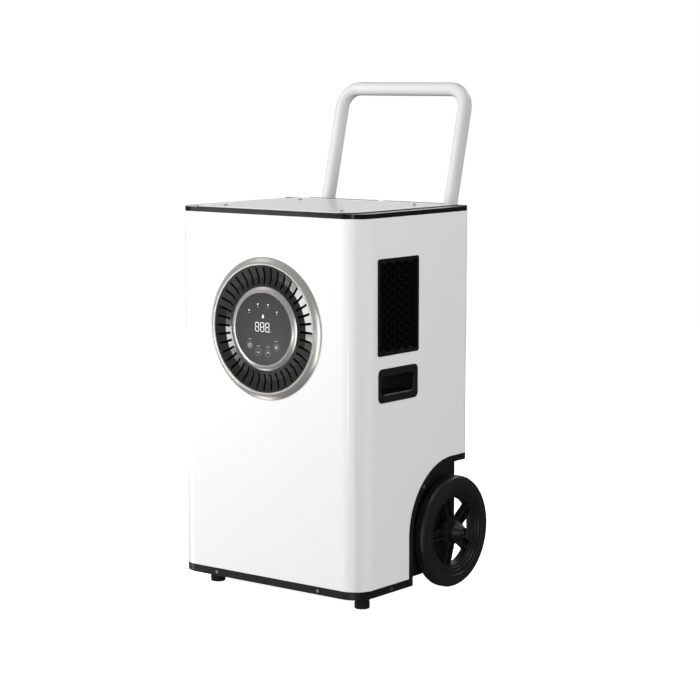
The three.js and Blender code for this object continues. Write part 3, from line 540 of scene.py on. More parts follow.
def smoked_glass(name):
    """The display's dark panel, with a painted reflection that makes it lighter towards its lower
    right.
    """
    made = Shader(name, (0.02, 0.02, 0.022), 0.14, Specular_IOR_Level=0.34)
    stretched = made.add(
        "ShaderNodeMapping", {"Vector": made.place(), "Location": (-0.3, 0, 0.35), "Scale": (7, 0, 7)})
    # Painted reflection: a round gradient in the base colour stands in for light reflected in the
    # glass.
    glow_and_painted_reflection = made.add(
        "ShaderNodeTexGradient", {"Vector": stretched.outputs["Vector"]},
        gradient_type="SPHERICAL").outputs["Fac"]
    made.link(made.mixed(glow_and_painted_reflection, (0.002, 0.002, 0.003), (0.045, 0.045, 0.047)), "Base Color")
    made.uneven(15, 0.03)
    made.bump(made.noise(500, 2), 0.002)
    return made.material


def printed_white(name, colour, glow_and_painted_reflection):
    """White print lit from behind, a little uneven."""
    made = Shader(name, colour, 0.5, Emission_Color=(0.9, 0.95, 1, 1), Emission_Strength=glow_and_painted_reflection)
    made.mottle(300, 0.05)
    made.uneven(200, 0.05)
    made.bump(made.noise(3000, 2), 0.01)
    return made.material


FINISHES = {
    "white_shell": plastic(
        "white_shell", (0.9, 0.9, 0.9), 0.22, 900, 0.012, 0.01, 0.03,
        Coat_Weight=0.15, Coat_Roughness=0.06),
    "lid": plastic(
        "lid", (0.66, 0.67, 0.67), 0.3, 700, 0.012, 0.02, 0.04, Coat_Weight=0.3,
        Coat_Roughness=0.15),
    # Painted highlight: a lighter grey for the lid's flat border, standing in for light caught along a
    # rounded edge.
    "lid_edge_painted_highlight": plastic("lid_edge_painted_highlight", (0.88, 0.88, 0.88), 0.3, 700, 0.012, 0.02, 0.04),
    "black_plastic": plastic(
        "black_plastic", (0.0085, 0.0085, 0.009), 0.38, 1500, 0.03, 0.12, 0.05,
        Specular_IOR_Level=0.4),
    "gloss_black": plastic(
        "gloss_black", (0.005, 0.005, 0.0055), 0.18, 1200, 0.008, 0.12, 0.04,
        Specular_IOR_Level=0.5),
    # Painted shade: a near-black matt finish for sheets that stand in for the shade behind openings.
    "painted_shade_black": plastic(
        "painted_shade_black", (0.002, 0.002, 0.002), 0.9, 700, 0.02, 0.2, 0.03, Specular_IOR_Level=0.05),
    "dial_black": plastic(
        "dial_black", (0.018, 0.018, 0.019), 0.18, 1200, 0.004, 0.12, 0.03,
        Specular_IOR_Level=0.9, Coat_Weight=0.8, Coat_Roughness=0.06),
    "display": smoked_glass("display"),
    "display_print": printed_white("display_print", (0.9, 0.92, 0.95), 0.3),
    "faint_print": printed_white("faint_print", (0.35, 0.36, 0.37), 0.02),
    "nickel_trim": brushed_ring("nickel_trim", (0.76, 0.74, 0.7), 0.24),
    "wheel_plastic": plastic(
        "wheel_plastic", (0.008, 0.008, 0.0085), 0.34, 1300, 0.03, 0.15, 0.05,
        Specular_IOR_Level=0.5),
    "tyre": tyre_rubber("tyre"),
    "rubber": plastic(
        "rubber", (0.012, 0.012, 0.012), 0.65, 1600, 0.05, 0.15, 0.06, Specular_IOR_Level=0.3),
    "handle_paint": plastic(
        "handle_paint", (0.64, 0.65, 0.65), 0.4, 1100, 0.03, 0.02, 0.05, Coat_Weight=0.3,
        Coat_Roughness=0.14),
    "steel": metal("steel", (0.55, 0.55, 0.56), 0.32, (300, 300, 30)),
    "dark_steel": plastic(
        "dark_steel", (0.1, 0.1, 0.105), 0.36, 1800, 0.03, 0.15, 0.06, Metallic=0.8),
    "compressor_paint": plastic(
        "compressor_paint", (0.012, 0.012, 0.013), 0.3, 500, 0.06, 0.15, 0.06),
    "aluminium": fin_stock("aluminium"),
    "copper": metal("copper", (0.72, 0.4, 0.27), 0.34, (60, 60, 60)),
    "filter_cloth": woven("filter_cloth"),
    "circuit_board": board("circuit_board"),
}

# ------------ pieces


def soften(obj, bevel, segments=2):
    """Rounds an object's edges and keeps its flat faces flat."""
    if bevel:
        edges = obj.modifiers.new("edges", "BEVEL")
        edges.width = bevel * MM
        edges.segments = segments
        edges.limit_method = "ANGLE"
        edges.angle_limit = math.radians(32)
    normals = obj.modifiers.new("normals", "WEIGHTED_NORMAL")
    normals.keep_sharp = True


def piece(name, mesh, slot, stands_for=(), body="cabinet", at=(0, 0, 0), bevel=0.4, segments=2,
          finish=None, facets=False):
    """A finished piece. The mesh is in millimetres about the point `at`."""
    reworked(mesh, bmesh.ops.remove_doubles, "verts", dist=0.002)
    reworked(mesh, bmesh.ops.dissolve_limit, "verts", "edges", angle_limit=math.radians(0.3))
    mesh.transform(Matrix.Scale(MM, 4))
    mesh.name = name
    if not facets:
        mesh.shade_smooth()
    mesh.materials.clear()
    mesh.materials.append(FINISHES[finish or slot])
    obj = new_object(name, mesh)
    obj.location = Vector(at) * MM + MIDDLE
    if not bevel:
        mesh.set_sharp_from_angle(angle=math.radians(32))
    soften(obj, bevel, segments)
    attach(obj, body)
    if stands_for:
        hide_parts(*stands_for)
    return obj


def turned_round(mesh):
    return spun(mesh, 180, "Z")


def both_sides(name, mesh, slot, node, bodies=("cabinet", "cabinet"), at=(0, 0, 0),
               other=mirrored, **options):
    """A right-hand piece and its counterpart, standing for the nodes named node_right and _left."""
    x, y, z = at
    for side, shape, place, body in (
            ("right", mesh.copy(), (x, y, z), bodies[0]),
            ("left", other(mesh), (-x, y, z), bodies[1])):
        nodes = [f"{node}_{side}"] if node else []
        piece(f"{name}_{side}", shape, slot, nodes, body, place, **options)


# ------------ cabinet

DIAL_HOLE = DIAL_RADIUS - 4.5
SLEEVE_INSET = 5
POCKET_LENGTH = 114.1
POCKET_HEIGHT = 36.6
POCKET_WALL = 2
INTAKE_START, INTAKE_END = measured("intake_grille")
INTAKE_LOW = INTAKE_START.z
INTAKE_HIGH = INTAKE_END.z
AIR_Z = (INTAKE_LOW + INTAKE_HIGH) / 2
INLET_HALF = 140                      # the opening behind the rear grille
INLET_RISE = 160
BASE_REAR_TOP = measured("base_tray")[1].z
BASE_KINK = 73
BASE_KINK_LOW = 38
BASE_REAR_LOW = 72
BASE_FRONT_END = ARCH_Y - ARCH_RADIUS + ARCH_RIM


def side_hole(length, height, radius, at):
    return prism(rounded(length, height, radius, at.y, at.z), "X", SIDE - 10, SIDE + 10)


def across(y0, y1, high):
    """A block over the cabinet's whole width, between two depths."""
    return block(-SIDE - 5, SIDE + 5, y0, y1, 0, high + 5)


def wrap_shape():
    """The front and both sides in one bent sheet."""
    body = overlap(shell(SHELL_LOW, SHELL_TOP), across(FRONT - 5, SEAM, SHELL_TOP))
    dial = prism(circle(0, DIAL.z, DIAL_HOLE, 128), "Y", FRONT - 5, FRONT + 10)
    right = [
        prism(arch(ARCH_RADIUS), "X", ARCH_WALL - GAP, SIDE + 20),
        side_hole(GRILLE_LENGTH - 2 * SLEEVE_INSET, GRILLE_HEIGHT - 2 * SLEEVE_INSET, 4, GRILLE),
        side_hole(POCKET_LENGTH + 5, POCKET_HEIGHT + 5, 12, GRIP),
    ]
    return cut(body, dial, *right, *[mirrored(hole) for hole in right])


def rear_shape():
    body = overlap(shell(SHELL_LOW, SHELL_TOP), across(SEAM + GAP, REAR + 5, SHELL_TOP))
    arches = prism(arch(ARCH_RADIUS), "X", ARCH_WALL - GAP, SIDE + 20)
    under = block(-SIDE, SIDE, SEAM - 5, REAR + 5, 0, BASE_REAR_TOP + GAP)
    inlet = rounded(2 * INLET_HALF, 2 * INLET_RISE, 8, 0, AIR_Z)
    intake = prism(inlet, "Y", REAR - 10, REAR + 10)
    fittings = [
        prism(circle(centre_of(node).x, centre_of(node).z, radius), "Y", REAR - 10, REAR + 10)
        for node, radius in (("drain_outlet", 12), ("cord_gland", 9))
    ]
    return cut(body, arches, mirrored(arches), under, intake, *fittings)


def base_shape():
    """The black tray: full width under the front, narrow and rising between the wheels."""
    front = overlap(
        prism(plan(0), "Z", BASE_LOW, BASE_TOP), across(FRONT - 5, BASE_FRONT_END, BASE_TOP))
    rear = prism([
        (BASE_FRONT_END - 20, BASE_KINK_LOW), (BASE_KINK, BASE_KINK_LOW), (REAR, BASE_REAR_LOW),
        (REAR, BASE_REAR_TOP), (BASE_KINK, BASE_TOP), (BASE_FRONT_END - 20, BASE_TOP),
    ], "X", -ARCH_WALL - WALL, ARCH_WALL + WALL)
    hollow = prism([
        (FRONT + WALL, BASE_LOW + 6), (BASE_FRONT_END, BASE_KINK_LOW + WALL),
        (BASE_KINK, BASE_KINK_LOW + WALL), (REAR - WALL, BASE_REAR_LOW + WALL),
        (REAR - WALL, BASE_REAR_TOP + 5), (FRONT + WALL, BASE_REAR_TOP + 5),
    ], "X", -ARCH_WALL, ARCH_WALL)
    return cut(union(front, rear), hollow)


def arch_shape():
    """A flush rim round the arch, its liner and the wall behind the wheel."""
    edge = prism(arch(ARCH_RADIUS - GAP), "X", ARCH_WALL, SIDE + 20)
    opening = prism(arch(ARCH_RADIUS - ARCH_RIM), "X", ARCH_WALL - 5, SIDE + 30)
    liner_edge = prism(arch(ARCH_RADIUS - ARCH_RIM + WALL), "X", ARCH_WALL, SIDE + 20)
    rim = cut(overlap(shell(SHELL_LOW, SHELL_TOP), edge), opening)
    liner = cut(overlap(liner_edge, prism(plan(0), "Z", SHELL_LOW, SHELL_TOP)), opening)
    wall = overlap(prism([
        (ARCH_Y - ARCH_RADIUS, SHELL_LOW), (BASE_KINK, SHELL_LOW),
        (REAR, BASE_REAR_TOP + GAP), (REAR, SHELL_TOP), (ARCH_Y - ARCH_RADIUS, SHELL_TOP),
    ], "X", ARCH_WALL, ARCH_WALL + WALL), liner_edge)
    axle_hole = prism(circle(WHEEL.y, WHEEL.z, 9), "X", ARCH_WALL - 5, ARCH_WALL + 10)
    return cut(union(rim, liner, wall), axle_hole)


piece("front_wrap_skin", wrap_shape(), "white_shell", ["front_wrap"], bevel=0.7, segments=3)
piece("rear_cover_skin", rear_shape(), "white_shell", ["rear_cover"], bevel=0.7, segments=3)
piece("base_tray_skin", base_shape(), "black_plastic", ["base_tray"], bevel=1.0, segments=3)
both_sides("wheel_arch_skin", arch_shape(), "black_plastic", "wheel_arch", bevel=0.6)

# ------------ top frame and lid

FRAME_LOW = measured("top_frame")[0].z
LID_START, LID_END = measured("lid_panel")
LID_TOP = LID_END.z
LID_LOW = LID_START.z
LID_INSET = 2 + GAP
LID_HALF = LID_END.x + LID_INSET
LEDGE_TOP = LID_TOP - 2.1
LID_BORDER = 17
LIP_TOP = measured("top_frame")[1].z
LIP_RUNS = [(-195, 3), (18, 185)]


def lid_outline(inset):
    """The raised lid with its chamfered front corners."""
    half = LID_HALF - inset
    front = FRONT + inset
    rear = REAR - 6 - inset
    right = [(half - 30, front), (half - 8, front + 25), (half, front + 60), (half, rear)]
    return right + [(-x, y) for x, y in reversed(right)]


def top_frame_shape():
    platform = LID_TOP - 0.6
    ledges = prism(plan(0), "Z", FRAME_LOW, LEDGE_TOP)
    raised = prism(lid_outline(0), "Z", LEDGE_TOP - 1, platform)
    strip = overlap(
        prism(plan(0), "Z", LEDGE_TOP - 1, platform), across(REAR - 24, REAR + 5, LID_TOP))
    seat = prism(lid_outline(2), "Z", LID_LOW - GAP, LID_TOP + 5)
    opening = prism(lid_outline(16), "Z", FRAME_LOW - 5, LID_TOP + 5)
    lips = [block(x0, x1, REAR - 5.7, REAR - 3.1, LEDGE_TOP - 1, LIP_TOP) for x0, x1 in LIP_RUNS]
    return union(cut(union(ledges, raised, strip), seat, opening), *lips)


def lid_border_shape():
    outer = prism(lid_outline(LID_INSET), "Z", LID_LOW, LID_TOP)
    return cut(outer, prism(lid_outline(LID_INSET + LID_BORDER), "Z", LID_LOW - 1, LID_TOP + 1))


piece("top_frame_skin", top_frame_shape(), "gloss_black", ["top_frame"], bevel=0.7, segments=3)
# The border's lighter finish is a painted highlight along the lid's edge.
piece("lid_border", lid_border_shape(), "lid", ["lid_panel"], bevel=0.5, finish="lid_edge_painted_highlight")
piece("lid_middle", prism(lid_outline(LID_INSET + LID_BORDER + GAP), "Z", LID_LOW, LID_TOP - 0.3),
      "lid", bevel=0.5)

# ------------ dial

RING_INNER = 139.2
CREASE = 112.5
HUB_OUTER = 91
DISPLAY = 78.2
SLOTS = 40
BEHIND = -6

OUTER_RING = [
    (DIAL_HOLE - 1, BEHIND), (DIAL_HOLE - 1, GAP), (DIAL_RADIUS, GAP), (DIAL_RADIUS, 1),
    (151.6, 3.2), (147.6, 5.5), (143.6, 7.5), (RING_INNER + 0.6, DIAL_PROUD),
    (RING_INNER - 1, DIAL_PROUD), (RING_INNER - 2, DIAL_PROUD - 1.2), (RING_INNER - 2, BEHIND),
]
INNER_RING = [
    (HUB_OUTER, -3.4), (HUB_OUTER, 3.6), (87.4, 5.9), (83.2, 8), (DISPLAY + 1, DIAL_PROUD),
    (DISPLAY, DIAL_PROUD - 0.8), (DISPLAY, -3.4),
]
# Painted shade: a near-black ring behind the cover's slots.
SHADE_RING = [(HUB_OUTER + 3.3, -5.2), (134.1, -5.2), (134.1, -4.2), (HUB_OUTER + 3.3, -4.2)]


def dial_cover_shape():
    """A V-shaped ring of flat facets with a slot along each joint between two facets."""
    cover = turned([
        (136.9, BEHIND), (136.9, 7.5), (CREASE, 1), (HUB_OUTER + 0.6, 5), (HUB_OUTER + 0.6, BEHIND),
        (HUB_OUTER + 3, BEHIND), (HUB_OUTER + 3, 2), (CREASE, -1.5), (134.4, 4.2), (134.4, BEHIND),
    ], "Y", SLOTS, -1)
    slot = rounded(133.5 - 97, 4.6, 2.2, (133.5 + 97) / 2, 0, 5)
    cutters = [
        prism(turned_points(slot, 360 * i / SLOTS), "Y", -14, 10) for i in range(SLOTS)
    ]
    return cut(cover, joined(cutters))


piece("dial_outer_ring_skin", turned(OUTER_RING, "Y", 192, -1), "nickel_trim",
      ["dial_outer_ring"], at=DIAL, bevel=0.3)
piece("dial_inner_ring_skin", turned(INNER_RING, "Y", 192, -1), "nickel_trim",
      ["dial_inner_ring"], at=DIAL, bevel=0.3)
piece("dial_cover", dial_cover_shape(), "gloss_black", ["dial_grille"], at=DIAL, bevel=0.35,
      finish="dial_black", facets=True)
# Painted shade: this ring stands in for the dark inside of the dial, seen through the slots.
piece("dial_shade_ring", turned(SHADE_RING, "Y", 96, -1), "gloss_black", at=DIAL, bevel=0,
      finish="painted_shade_black")

# ------------ display

GLASS_FACE = 8.2
PRINT = 0.15
TOUCH_RADIUS = 52.3
LAMP_RADIUS = 54.7
LAMPS = (45, 75, 105, 135)
TOUCH_KEYS = {-135: "power", -105: "down", -75: "up", -45: "list"}

GLASS = [(0, 5.8), (DISPLAY - GAP, 5.8), (DISPLAY - GAP, 7.8), (DISPLAY - 0.7, GLASS_FACE),
         (0, GLASS_FACE)]
piece("display_panel", turned(GLASS, "Y", 128, -1), "display", ["display_glass"], at=DIAL, bevel=0)


def printed(points):
    """A flat mark on the display's face, its outline drawn as (across, up)."""
    return prism(points, "Y", -GLASS_FACE - PRINT, -GLASS_FACE)


def printed_ring(x, z, radius, width):
    return cut(printed(circle(x, z, radius)), prism(circle(x, z, radius - width), "Y", -20, 0))


def bar(x0, x1, z0, z1):
    return printed([(x0, z0), (x1, z0), (x1, z1), (x0, z1)])


SEGMENT = 9.4
SEGMENT_HALF = 0.72


def segment(x, z, upright):
    """One pointed bar of a seven-segment figure, about its own middle."""
    half = SEGMENT / 2 - 0.35
    w = SEGMENT_HALF
    points = [(-half, 0), (w - half, -w), (half - w, -w), (half, 0), (half - w, w), (w - half, w)]
    if upright:
        points = [(-b, a) for a, b in points]
    return printed([(x + a, z + b) for a, b in points])


def figure(x, z):
    """A figure eight with all seven bars lit."""
    half = SEGMENT / 2
    level = [segment(x, z + SEGMENT * k, False) for k in (-1, 0, 1)]
    upright = [segment(x + half * a, z + half * b, True) for a in (-1, 1) for b in (-1, 1)]
    return [*level, *upright]


def droplet(x, z, size):
    """A drop of water: a round bottom drawn up to a point."""
    return printed([*arc(x, z, size, 150, 390, 20), (x, z + 2.1 * size)])


def chevron(x, z, way):
    """An open arrowhead, way being 1 for up and -1 for down."""
    outline = [(-3.6, -1.8), (0, 1.8), (3.6, -1.8), (3.6, -0.8), (0, 2.8), (-3.6, -0.8)]
    return printed([(x + a, z + way * b) for a, b in outline])


def icon(x, z, kind):
    """A simple sign inside a touch ring."""
    if kind == "power":
        opened = arc(x, z, 3.9, 120, 420, 24) + arc(x, z, 3.2, 420, 120, 24)
        return [printed(opened), bar(x - 0.4, x + 0.4, z + 0.8, z + 4.6)]
    if kind == "list":
        return [bar(x - 3.4, x + 3.4, z + k - 0.35, z + k + 0.35) for k in (-2.4, 0, 2.4)]
    return [chevron(x, z, {"up": 1, "down": -1}[kind])]


def around(radius, degrees):
    angle = math.radians(degrees)
    return radius * math.cos(angle), radius * math.sin(angle)


def display_marks():
    """The parts that shine: three figures, the lamps, a drop of water and the touch icons."""
    marks = [droplet(0, 26.5, 2.9), printed(circle(19.6, -5.2, 0.9, 16))]
    for k in (-1, 0, 1):
        marks += figure(14.2 * k - 2.2, 4.2)
    for degrees in LAMPS:
        x, z = around(LAMP_RADIUS, degrees)
        marks.append(printed(circle(x, z, 1.7, 24)))
    for degrees, kind in TOUCH_KEYS.items():
        marks += icon(*around(TOUCH_RADIUS, degrees), kind)
    return joined(marks)


def faint_marks():
    """The rings of the touch keys, and a dash by each key and lamp."""
    marks = []
    for degrees in LAMPS:
        x, z = around(LAMP_RADIUS, degrees)
        marks.append(bar(x - 2.8, x + 2.8, z - 6.2, z - 5.2))
    for degrees in TOUCH_KEYS:
        x, z = around(TOUCH_RADIUS, degrees)
        marks.append(printed_ring(x, z, 8, 0.45))
        marks.append(bar(x - 5, x + 5, z + 12.4, z + 13.6))
    return joined(marks)


piece("display_marks", display_marks(), "display", at=DIAL, bevel=0, finish="display_print")
piece("faint_marks", faint_marks(), "display", at=DIAL, bevel=0, finish="faint_print")

# ------------ side grilles and hand grips

HEX_RADIUS = 10.45
HEX_WEB = 1.15
COMB_BACK = -4.5
COMB_FACE = -1.6
SLEEVE_BACK = -9
GRILLE_PLACE = (SIDE, GRILLE.y, GRILLE.z)
SLEEVE = [size - 2 * (SLEEVE_INSET + GAP) for size in (GRILLE_LENGTH, GRILLE_HEIGHT)]
OPENING = [size - 4.2 for size in SLEEVE]


def comb_shape(length, height):
    """A plate of honeycomb cells, cut off square at the frame."""
    column_pitch = 1.5 * HEX_RADIUS
    row_pitch = math.sqrt(3) * HEX_RADIUS
    cell = arc(0, 0, HEX_RADIUS - HEX_WEB / math.sqrt(3), 0, 300, 5)
    columns = int(length / 2 / column_pitch) + 1
    rows = int(height / 2 / row_pitch) + 1
    cells = []
    for column in range(-columns, columns + 1):
        for row in range(-rows, rows + 1):
            y = column * column_pitch
            z = (row + (column % 2) / 2) * row_pitch
            if abs(y) < length / 2 and abs(z) < height / 2 - 1:
                cells.append(prism([(y + a, z + b) for a, b in cell], "X", -20, 10))
    window = prism(rounded(length - 3, height - 3, 2), "X", -15, 5)
    plate = prism(rounded(length, height, 3), "X", COMB_BACK, COMB_FACE)
    return cut(plate, overlap(window, joined(cells)))


def grille_frame_shape():
    """A raised bezel with a sleeve through the side panel."""
    bezel = prism(rounded(GRILLE_LENGTH, GRILLE_HEIGHT, 6), "X", GAP, BEZEL_PROUD)
    sleeve = prism(rounded(*SLEEVE, 3.7), "X", SLEEVE_BACK, BEZEL_PROUD)
    opening = prism(
        rounded(SLEEVE[0] - 4, SLEEVE[1] - 4, 2), "X", -20, BEZEL_PROUD + 5)
    return cut(union(bezel, sleeve), opening)


def grip_shape():
    """A raised bezel and a closed pocket for the fingers."""
    bezel = prism(rounded(GRIP_LENGTH, GRIP_HEIGHT, 12), "X", GAP, BEZEL_PROUD)
    cup = prism(
        rounded(POCKET_LENGTH + 2 * POCKET_WALL, POCKET_HEIGHT + 2 * POCKET_WALL, 11.7),
        "X", -GRIP_DEPTH, BEZEL_PROUD)
    pocket = prism(
        rounded(POCKET_LENGTH, POCKET_HEIGHT, 10), "X", POCKET_WALL - GRIP_DEPTH, BEZEL_PROUD + 5)
    funnel = prism(
        rounded(POCKET_LENGTH, POCKET_HEIGHT, 10), "X", -1.5, BEZEL_PROUD + 1,
        rounded(POCKET_LENGTH + 7, POCKET_HEIGHT + 7, 13.5))
    return cut(union(bezel, cup), pocket, funnel)


both_sides("side_grille_frame", grille_frame_shape(), "gloss_black", "side_grille",
           at=GRILLE_PLACE, bevel=1.2, segments=3)
both_sides("side_grille_comb", comb_shape(*OPENING), "gloss_black", None,
           at=GRILLE_PLACE, bevel=0.3)
# Painted shade: a near-black sheet behind the comb stands in for the dark inside of the cabinet; it is
# no filter cloth.
both_sides("side_grille_shade_sheet",
           prism(rounded(*OPENING, 2), "X", SLEEVE_BACK, SLEEVE_BACK + 1.2),
           "filter_cloth", None, at=GRILLE_PLACE, bevel=0.2, finish="painted_shade_black")
both_sides("hand_grip_skin", grip_shape(), "black_plastic", "hand_grip",
           at=(SIDE, GRIP.y, GRIP.z), bevel=0.9, segments=3)

# ------------ wheels

TREAD = [(TYRE_HALF - 0.1, 103), (TYRE_HALF, 108), (TYRE_HALF, 112), (16.6, 116.5), (14.4, 120.2),
         (11.4, 122.8), (8, 124.3)]
GROOVES = (-6, -2, 2, 6)


def tyre_profile():
    """Rounded shoulders, four tread grooves and a raised ring on each sidewall."""
    side = [(14.6, RIM_RADIUS + GAP), (14.6, 98), (16.2, 99), (17.2, 100), (17.2, 102)]
    right = side + TREAD
    crown = []
    for groove in sorted(GROOVES, reverse=True):
        crown += [(groove + 0.9, WHEEL_RADIUS), (groove + 0.6, WHEEL_RADIUS - 1.6),
                  (groove - 0.6, WHEEL_RADIUS - 1.6), (groove - 0.9, WHEEL_RADIUS)]
    left = [(-x, r) for x, r in reversed(right)]
    return [(r, x) for x, r in [*right, *crown, *left]]


def spoke(degrees):
    """A channel open to the outside: a web with a rib along either edge."""
    section = [(-7, -12), (8, -12), (8, -7.5), (-3, -7.5), (-3, 7.5), (8, 7.5), (8, 12), (-7, 12)]
    return spun(prism(section, "Z", HUB_RADIUS - 2, 82), degrees, "X")


def rim_shape():
    ring = turned([
        (RIM_RADIUS, -14), (RIM_RADIUS, 14), (92.6, 14.6), (90.4, 14), (89, 11.5), (84, 10.6),
        (82.6, 8.4), (78.4, 7.4), (77, 5.4), (74.6, 3), (74.6, -9), (76, -11.4), (88, -12.4),
        (90.4, -14),
    ], "X", 128)
    hub = turned([
        (13.3, -17), (HUB_RADIUS, -17), (HUB_RADIUS, -6), (33, -6), (34, -5), (34, 3),
        (33, 4), (HUB_RADIUS + 1.5, 6), (HUB_RADIUS, 8), (HUB_RADIUS, 15), (22, 17),
        (13.3, 17),
    ], "X", 64)
    bore = prism(circle(0, 0, 13.3, 64), "X", -40, 40)
    spokes = [spoke(18 + 72 * i) for i in range(5)]
    return cut(union(ring, hub, *spokes), bore)


HUB_CAP = [
    (0, 21), (9, 21), (9, 17 + GAP), (24, 17 + GAP), (24, 18.6), (21.4, 19.2), (20.6, 20.4),
    (11.8, HUB_END - 1.6), (10.8, HUB_END - 0.4), (9.8, HUB_END), (8.4, HUB_END),
    (7.6, HUB_END - 0.8), (7.2, HUB_END - 6), (0, HUB_END - 6),
]
RIVET = [(0, HUB_END - 6.5), (4.4, HUB_END - 6.5), (4.4, HUB_END - 4.2), (3.4, HUB_END - 3.2),
         (0, HUB_END - 2.8)]
WHEELS = ("wheel_right", "wheel_left")

both_sides("tyre_tread", turned(tyre_profile(), "X", 128), "tyre", "tyre", WHEELS, WHEEL,
           bevel=0.25)
both_sides("rim_skin", rim_shape(), "wheel_plastic", "rim", WHEELS, WHEEL, turned_round,
           bevel=0.8, segments=3)
both_sides("hub_cap_skin", turned(HUB_CAP, "X", 96), "wheel_plastic", "hub_cap", WHEELS, WHEEL,
           bevel=0.3)
both_sides("hub_rivet", turned(RIVET, "X", 48), "steel", None, WHEELS, WHEEL, bevel=0.3)

# ------------ feet

FOOT_PLACE = centre_of("foot_right")
FOOT_END = measured("foot_right")[1]
FOOT_RADIUS = FOOT_END.x - FOOT_PLACE.x
FOOT_HEIGHT = FOOT_END.z
FOOT = [
    (0, 0), (FOOT_RADIUS - 1.6, 0), (FOOT_RADIUS - 0.4, 0.6), (FOOT_RADIUS, 1.8),
    (FOOT_RADIUS, 14), (FOOT_RADIUS - 1.2, 15), (FOOT_RADIUS - 1.2, 16.5), (FOOT_RADIUS, 17.5),
    (FOOT_RADIUS, 24), (FOOT_RADIUS - 3, FOOT_HEIGHT), (0, FOOT_HEIGHT),
]
both_sides("foot_skin", turned(FOOT, "Z", 64), "rubber", "foot",
           at=(FOOT_PLACE.x, FOOT_PLACE.y, 0), bevel=0.3)

# ------------ handle


def handle_shape():
    upright = REAR + HANDLE_BACK
    corners = [
        (-HANDLE_X, upright, HANDLE_LOW), (-HANDLE_X, upright, HANDLE_BEND),
        (-HANDLE_X, HANDLE_REAR, HANDLE_TOP), (HANDLE_X, HANDLE_REAR, HANDLE_TOP),
        (HANDLE_X, upright, HANDLE_BEND), (HANDLE_X, upright, HANDLE_LOW),
    ]
    return swept(rounded_route(corners, HANDLE_CORNER, 16), TUBE_RADIUS, 48)


CLAMP_SIZE = size_of("handle_clamp_upper_right")
CLAMP_PLATE = 3


def clamp_shape():
    """A saddle round the tube with two ears, drawn about the tube's foot on the rear cover."""
    half = CLAMP_SIZE.x / 2
    axis = HANDLE_BACK - GAP
    inner = TUBE_RADIUS + GAP
    outer = inner + 3.5
    outline = [
        (-half, 0), (-inner, 0), *arc(0, axis, inner, 180, 0, 32), (inner, 0), (half, 0),
        (half, CLAMP_PLATE), (outer, CLAMP_PLATE), *arc(0, axis, outer, 0, 180, 32),
        (-outer, CLAMP_PLATE), (-half, CLAMP_PLATE),
    ]
    return prism(outline, "Z", -CLAMP_SIZE.z / 2, CLAMP_SIZE.z / 2)


HEAD_RADIUS = 4


def screw_shape(length):
    """A pan head with a cross recess, standing on a face at height 0 and pointing along +Z."""
    head = turned([
        (0, -length), (1.9, -length), (1.9, GAP), (HEAD_RADIUS, GAP), (HEAD_RADIUS, 1.3),
        (3.5, 2), (2.4, 2.5), (0, 2.7),
    ], "Z", 32)
    bars = union(block(-2.1, 2.1, -0.45, 0.45, 1.3, 5), block(-0.45, 0.45, -2.1, 2.1, 1.3, 5))
    return cut(head, bars)


piece("handle_tube_skin", handle_shape(), "handle_paint", ["handle_tube"], bevel=0.8)
for level in ("lower", "upper"):
    place = centre_of(f"handle_clamp_{level}_right")
    both_sides(f"handle_clamp_{level}_skin", clamp_shape(), "dark_steel",
               f"handle_clamp_{level}", at=(place.x, REAR + GAP, place.z), bevel=0.6)
    for name, offset in (("inner", -25), ("outer", 25)):
        bolt = spun(screw_shape(6), -90, "X")
        both_sides(f"clamp_screw_{level}_{name}", bolt, "steel", None,
                   at=(place.x + offset, REAR + CLAMP_PLATE, place.z), bevel=0.12)

# ------------ screws

FLAT_SCREW = screw_shape(6)
place = centre_of("front_screw_right")
both_sides("front_screw_head", spun(FLAT_SCREW, 90, "X"), "steel", "front_screw",
           at=(place.x, FRONT, place.z), bevel=0.12)
for name in ("side_screw", "arch_screw"):
    place = centre_of(f"{name}_right")
    both_sides(f"{name}_head", spun(FLAT_SCREW, 90, "Y"), "steel", name,
               at=(SIDE, place.y, place.z), bevel=0.12)
for name in ("lid_screw_front", "lid_screw_rear"):
    place = centre_of(f"{name}_right")
    both_sides(f"{name}_head", screw_shape(3), "steel", name,
               at=(place.x, place.y, LID_TOP - GAP), bevel=0.12)

# ------------ rear grille and filter

INTAKE_HALF = INTAKE_END.x
INTAKE_FAR = INTAKE_END.y
FILTER_START, FILTER_END = measured("filter_frame")
FILTER_NEAR = FILTER_START.y
FILTER_FAR = FILTER_END.y
FILTER_HALF = FILTER_END.x
FILTER_LOW = FILTER_START.z
SLAT_PITCH = 13.3
SLAT_GAP = 9


def intake_shape():
    """A raised frame with level slats; its top is open for the filter."""
    height = INTAKE_HIGH - INTAKE_LOW
    frame_block = prism(
        rounded(2 * INTAKE_HALF, height, 6, 0, AIR_Z), "Y", REAR + GAP, INTAKE_FAR)
    channel = block(-FILTER_HALF - 1, FILTER_HALF + 1, FILTER_NEAR - 0.5, FILTER_FAR + 0.5,
                    FILTER_LOW - 1, INTAKE_HIGH + 5)
    inlet = block(-INLET_HALF, INLET_HALF, REAR - 1, FILTER_NEAR,
                  AIR_Z - INLET_RISE, AIR_Z + INLET_RISE)
    slots = []
    for i in range(int(2 * INLET_RISE / SLAT_PITCH)):
        z = AIR_Z - INLET_RISE + (i + 0.5) * SLAT_PITCH
        for x in (-69, 69):
            outline = rounded(130, SLAT_GAP, 3, x, z, 4)
            slots.append(prism(outline, "Y", FILTER_FAR, INTAKE_FAR + 5))
    return cut(frame_block, channel, inlet, joined(slots))


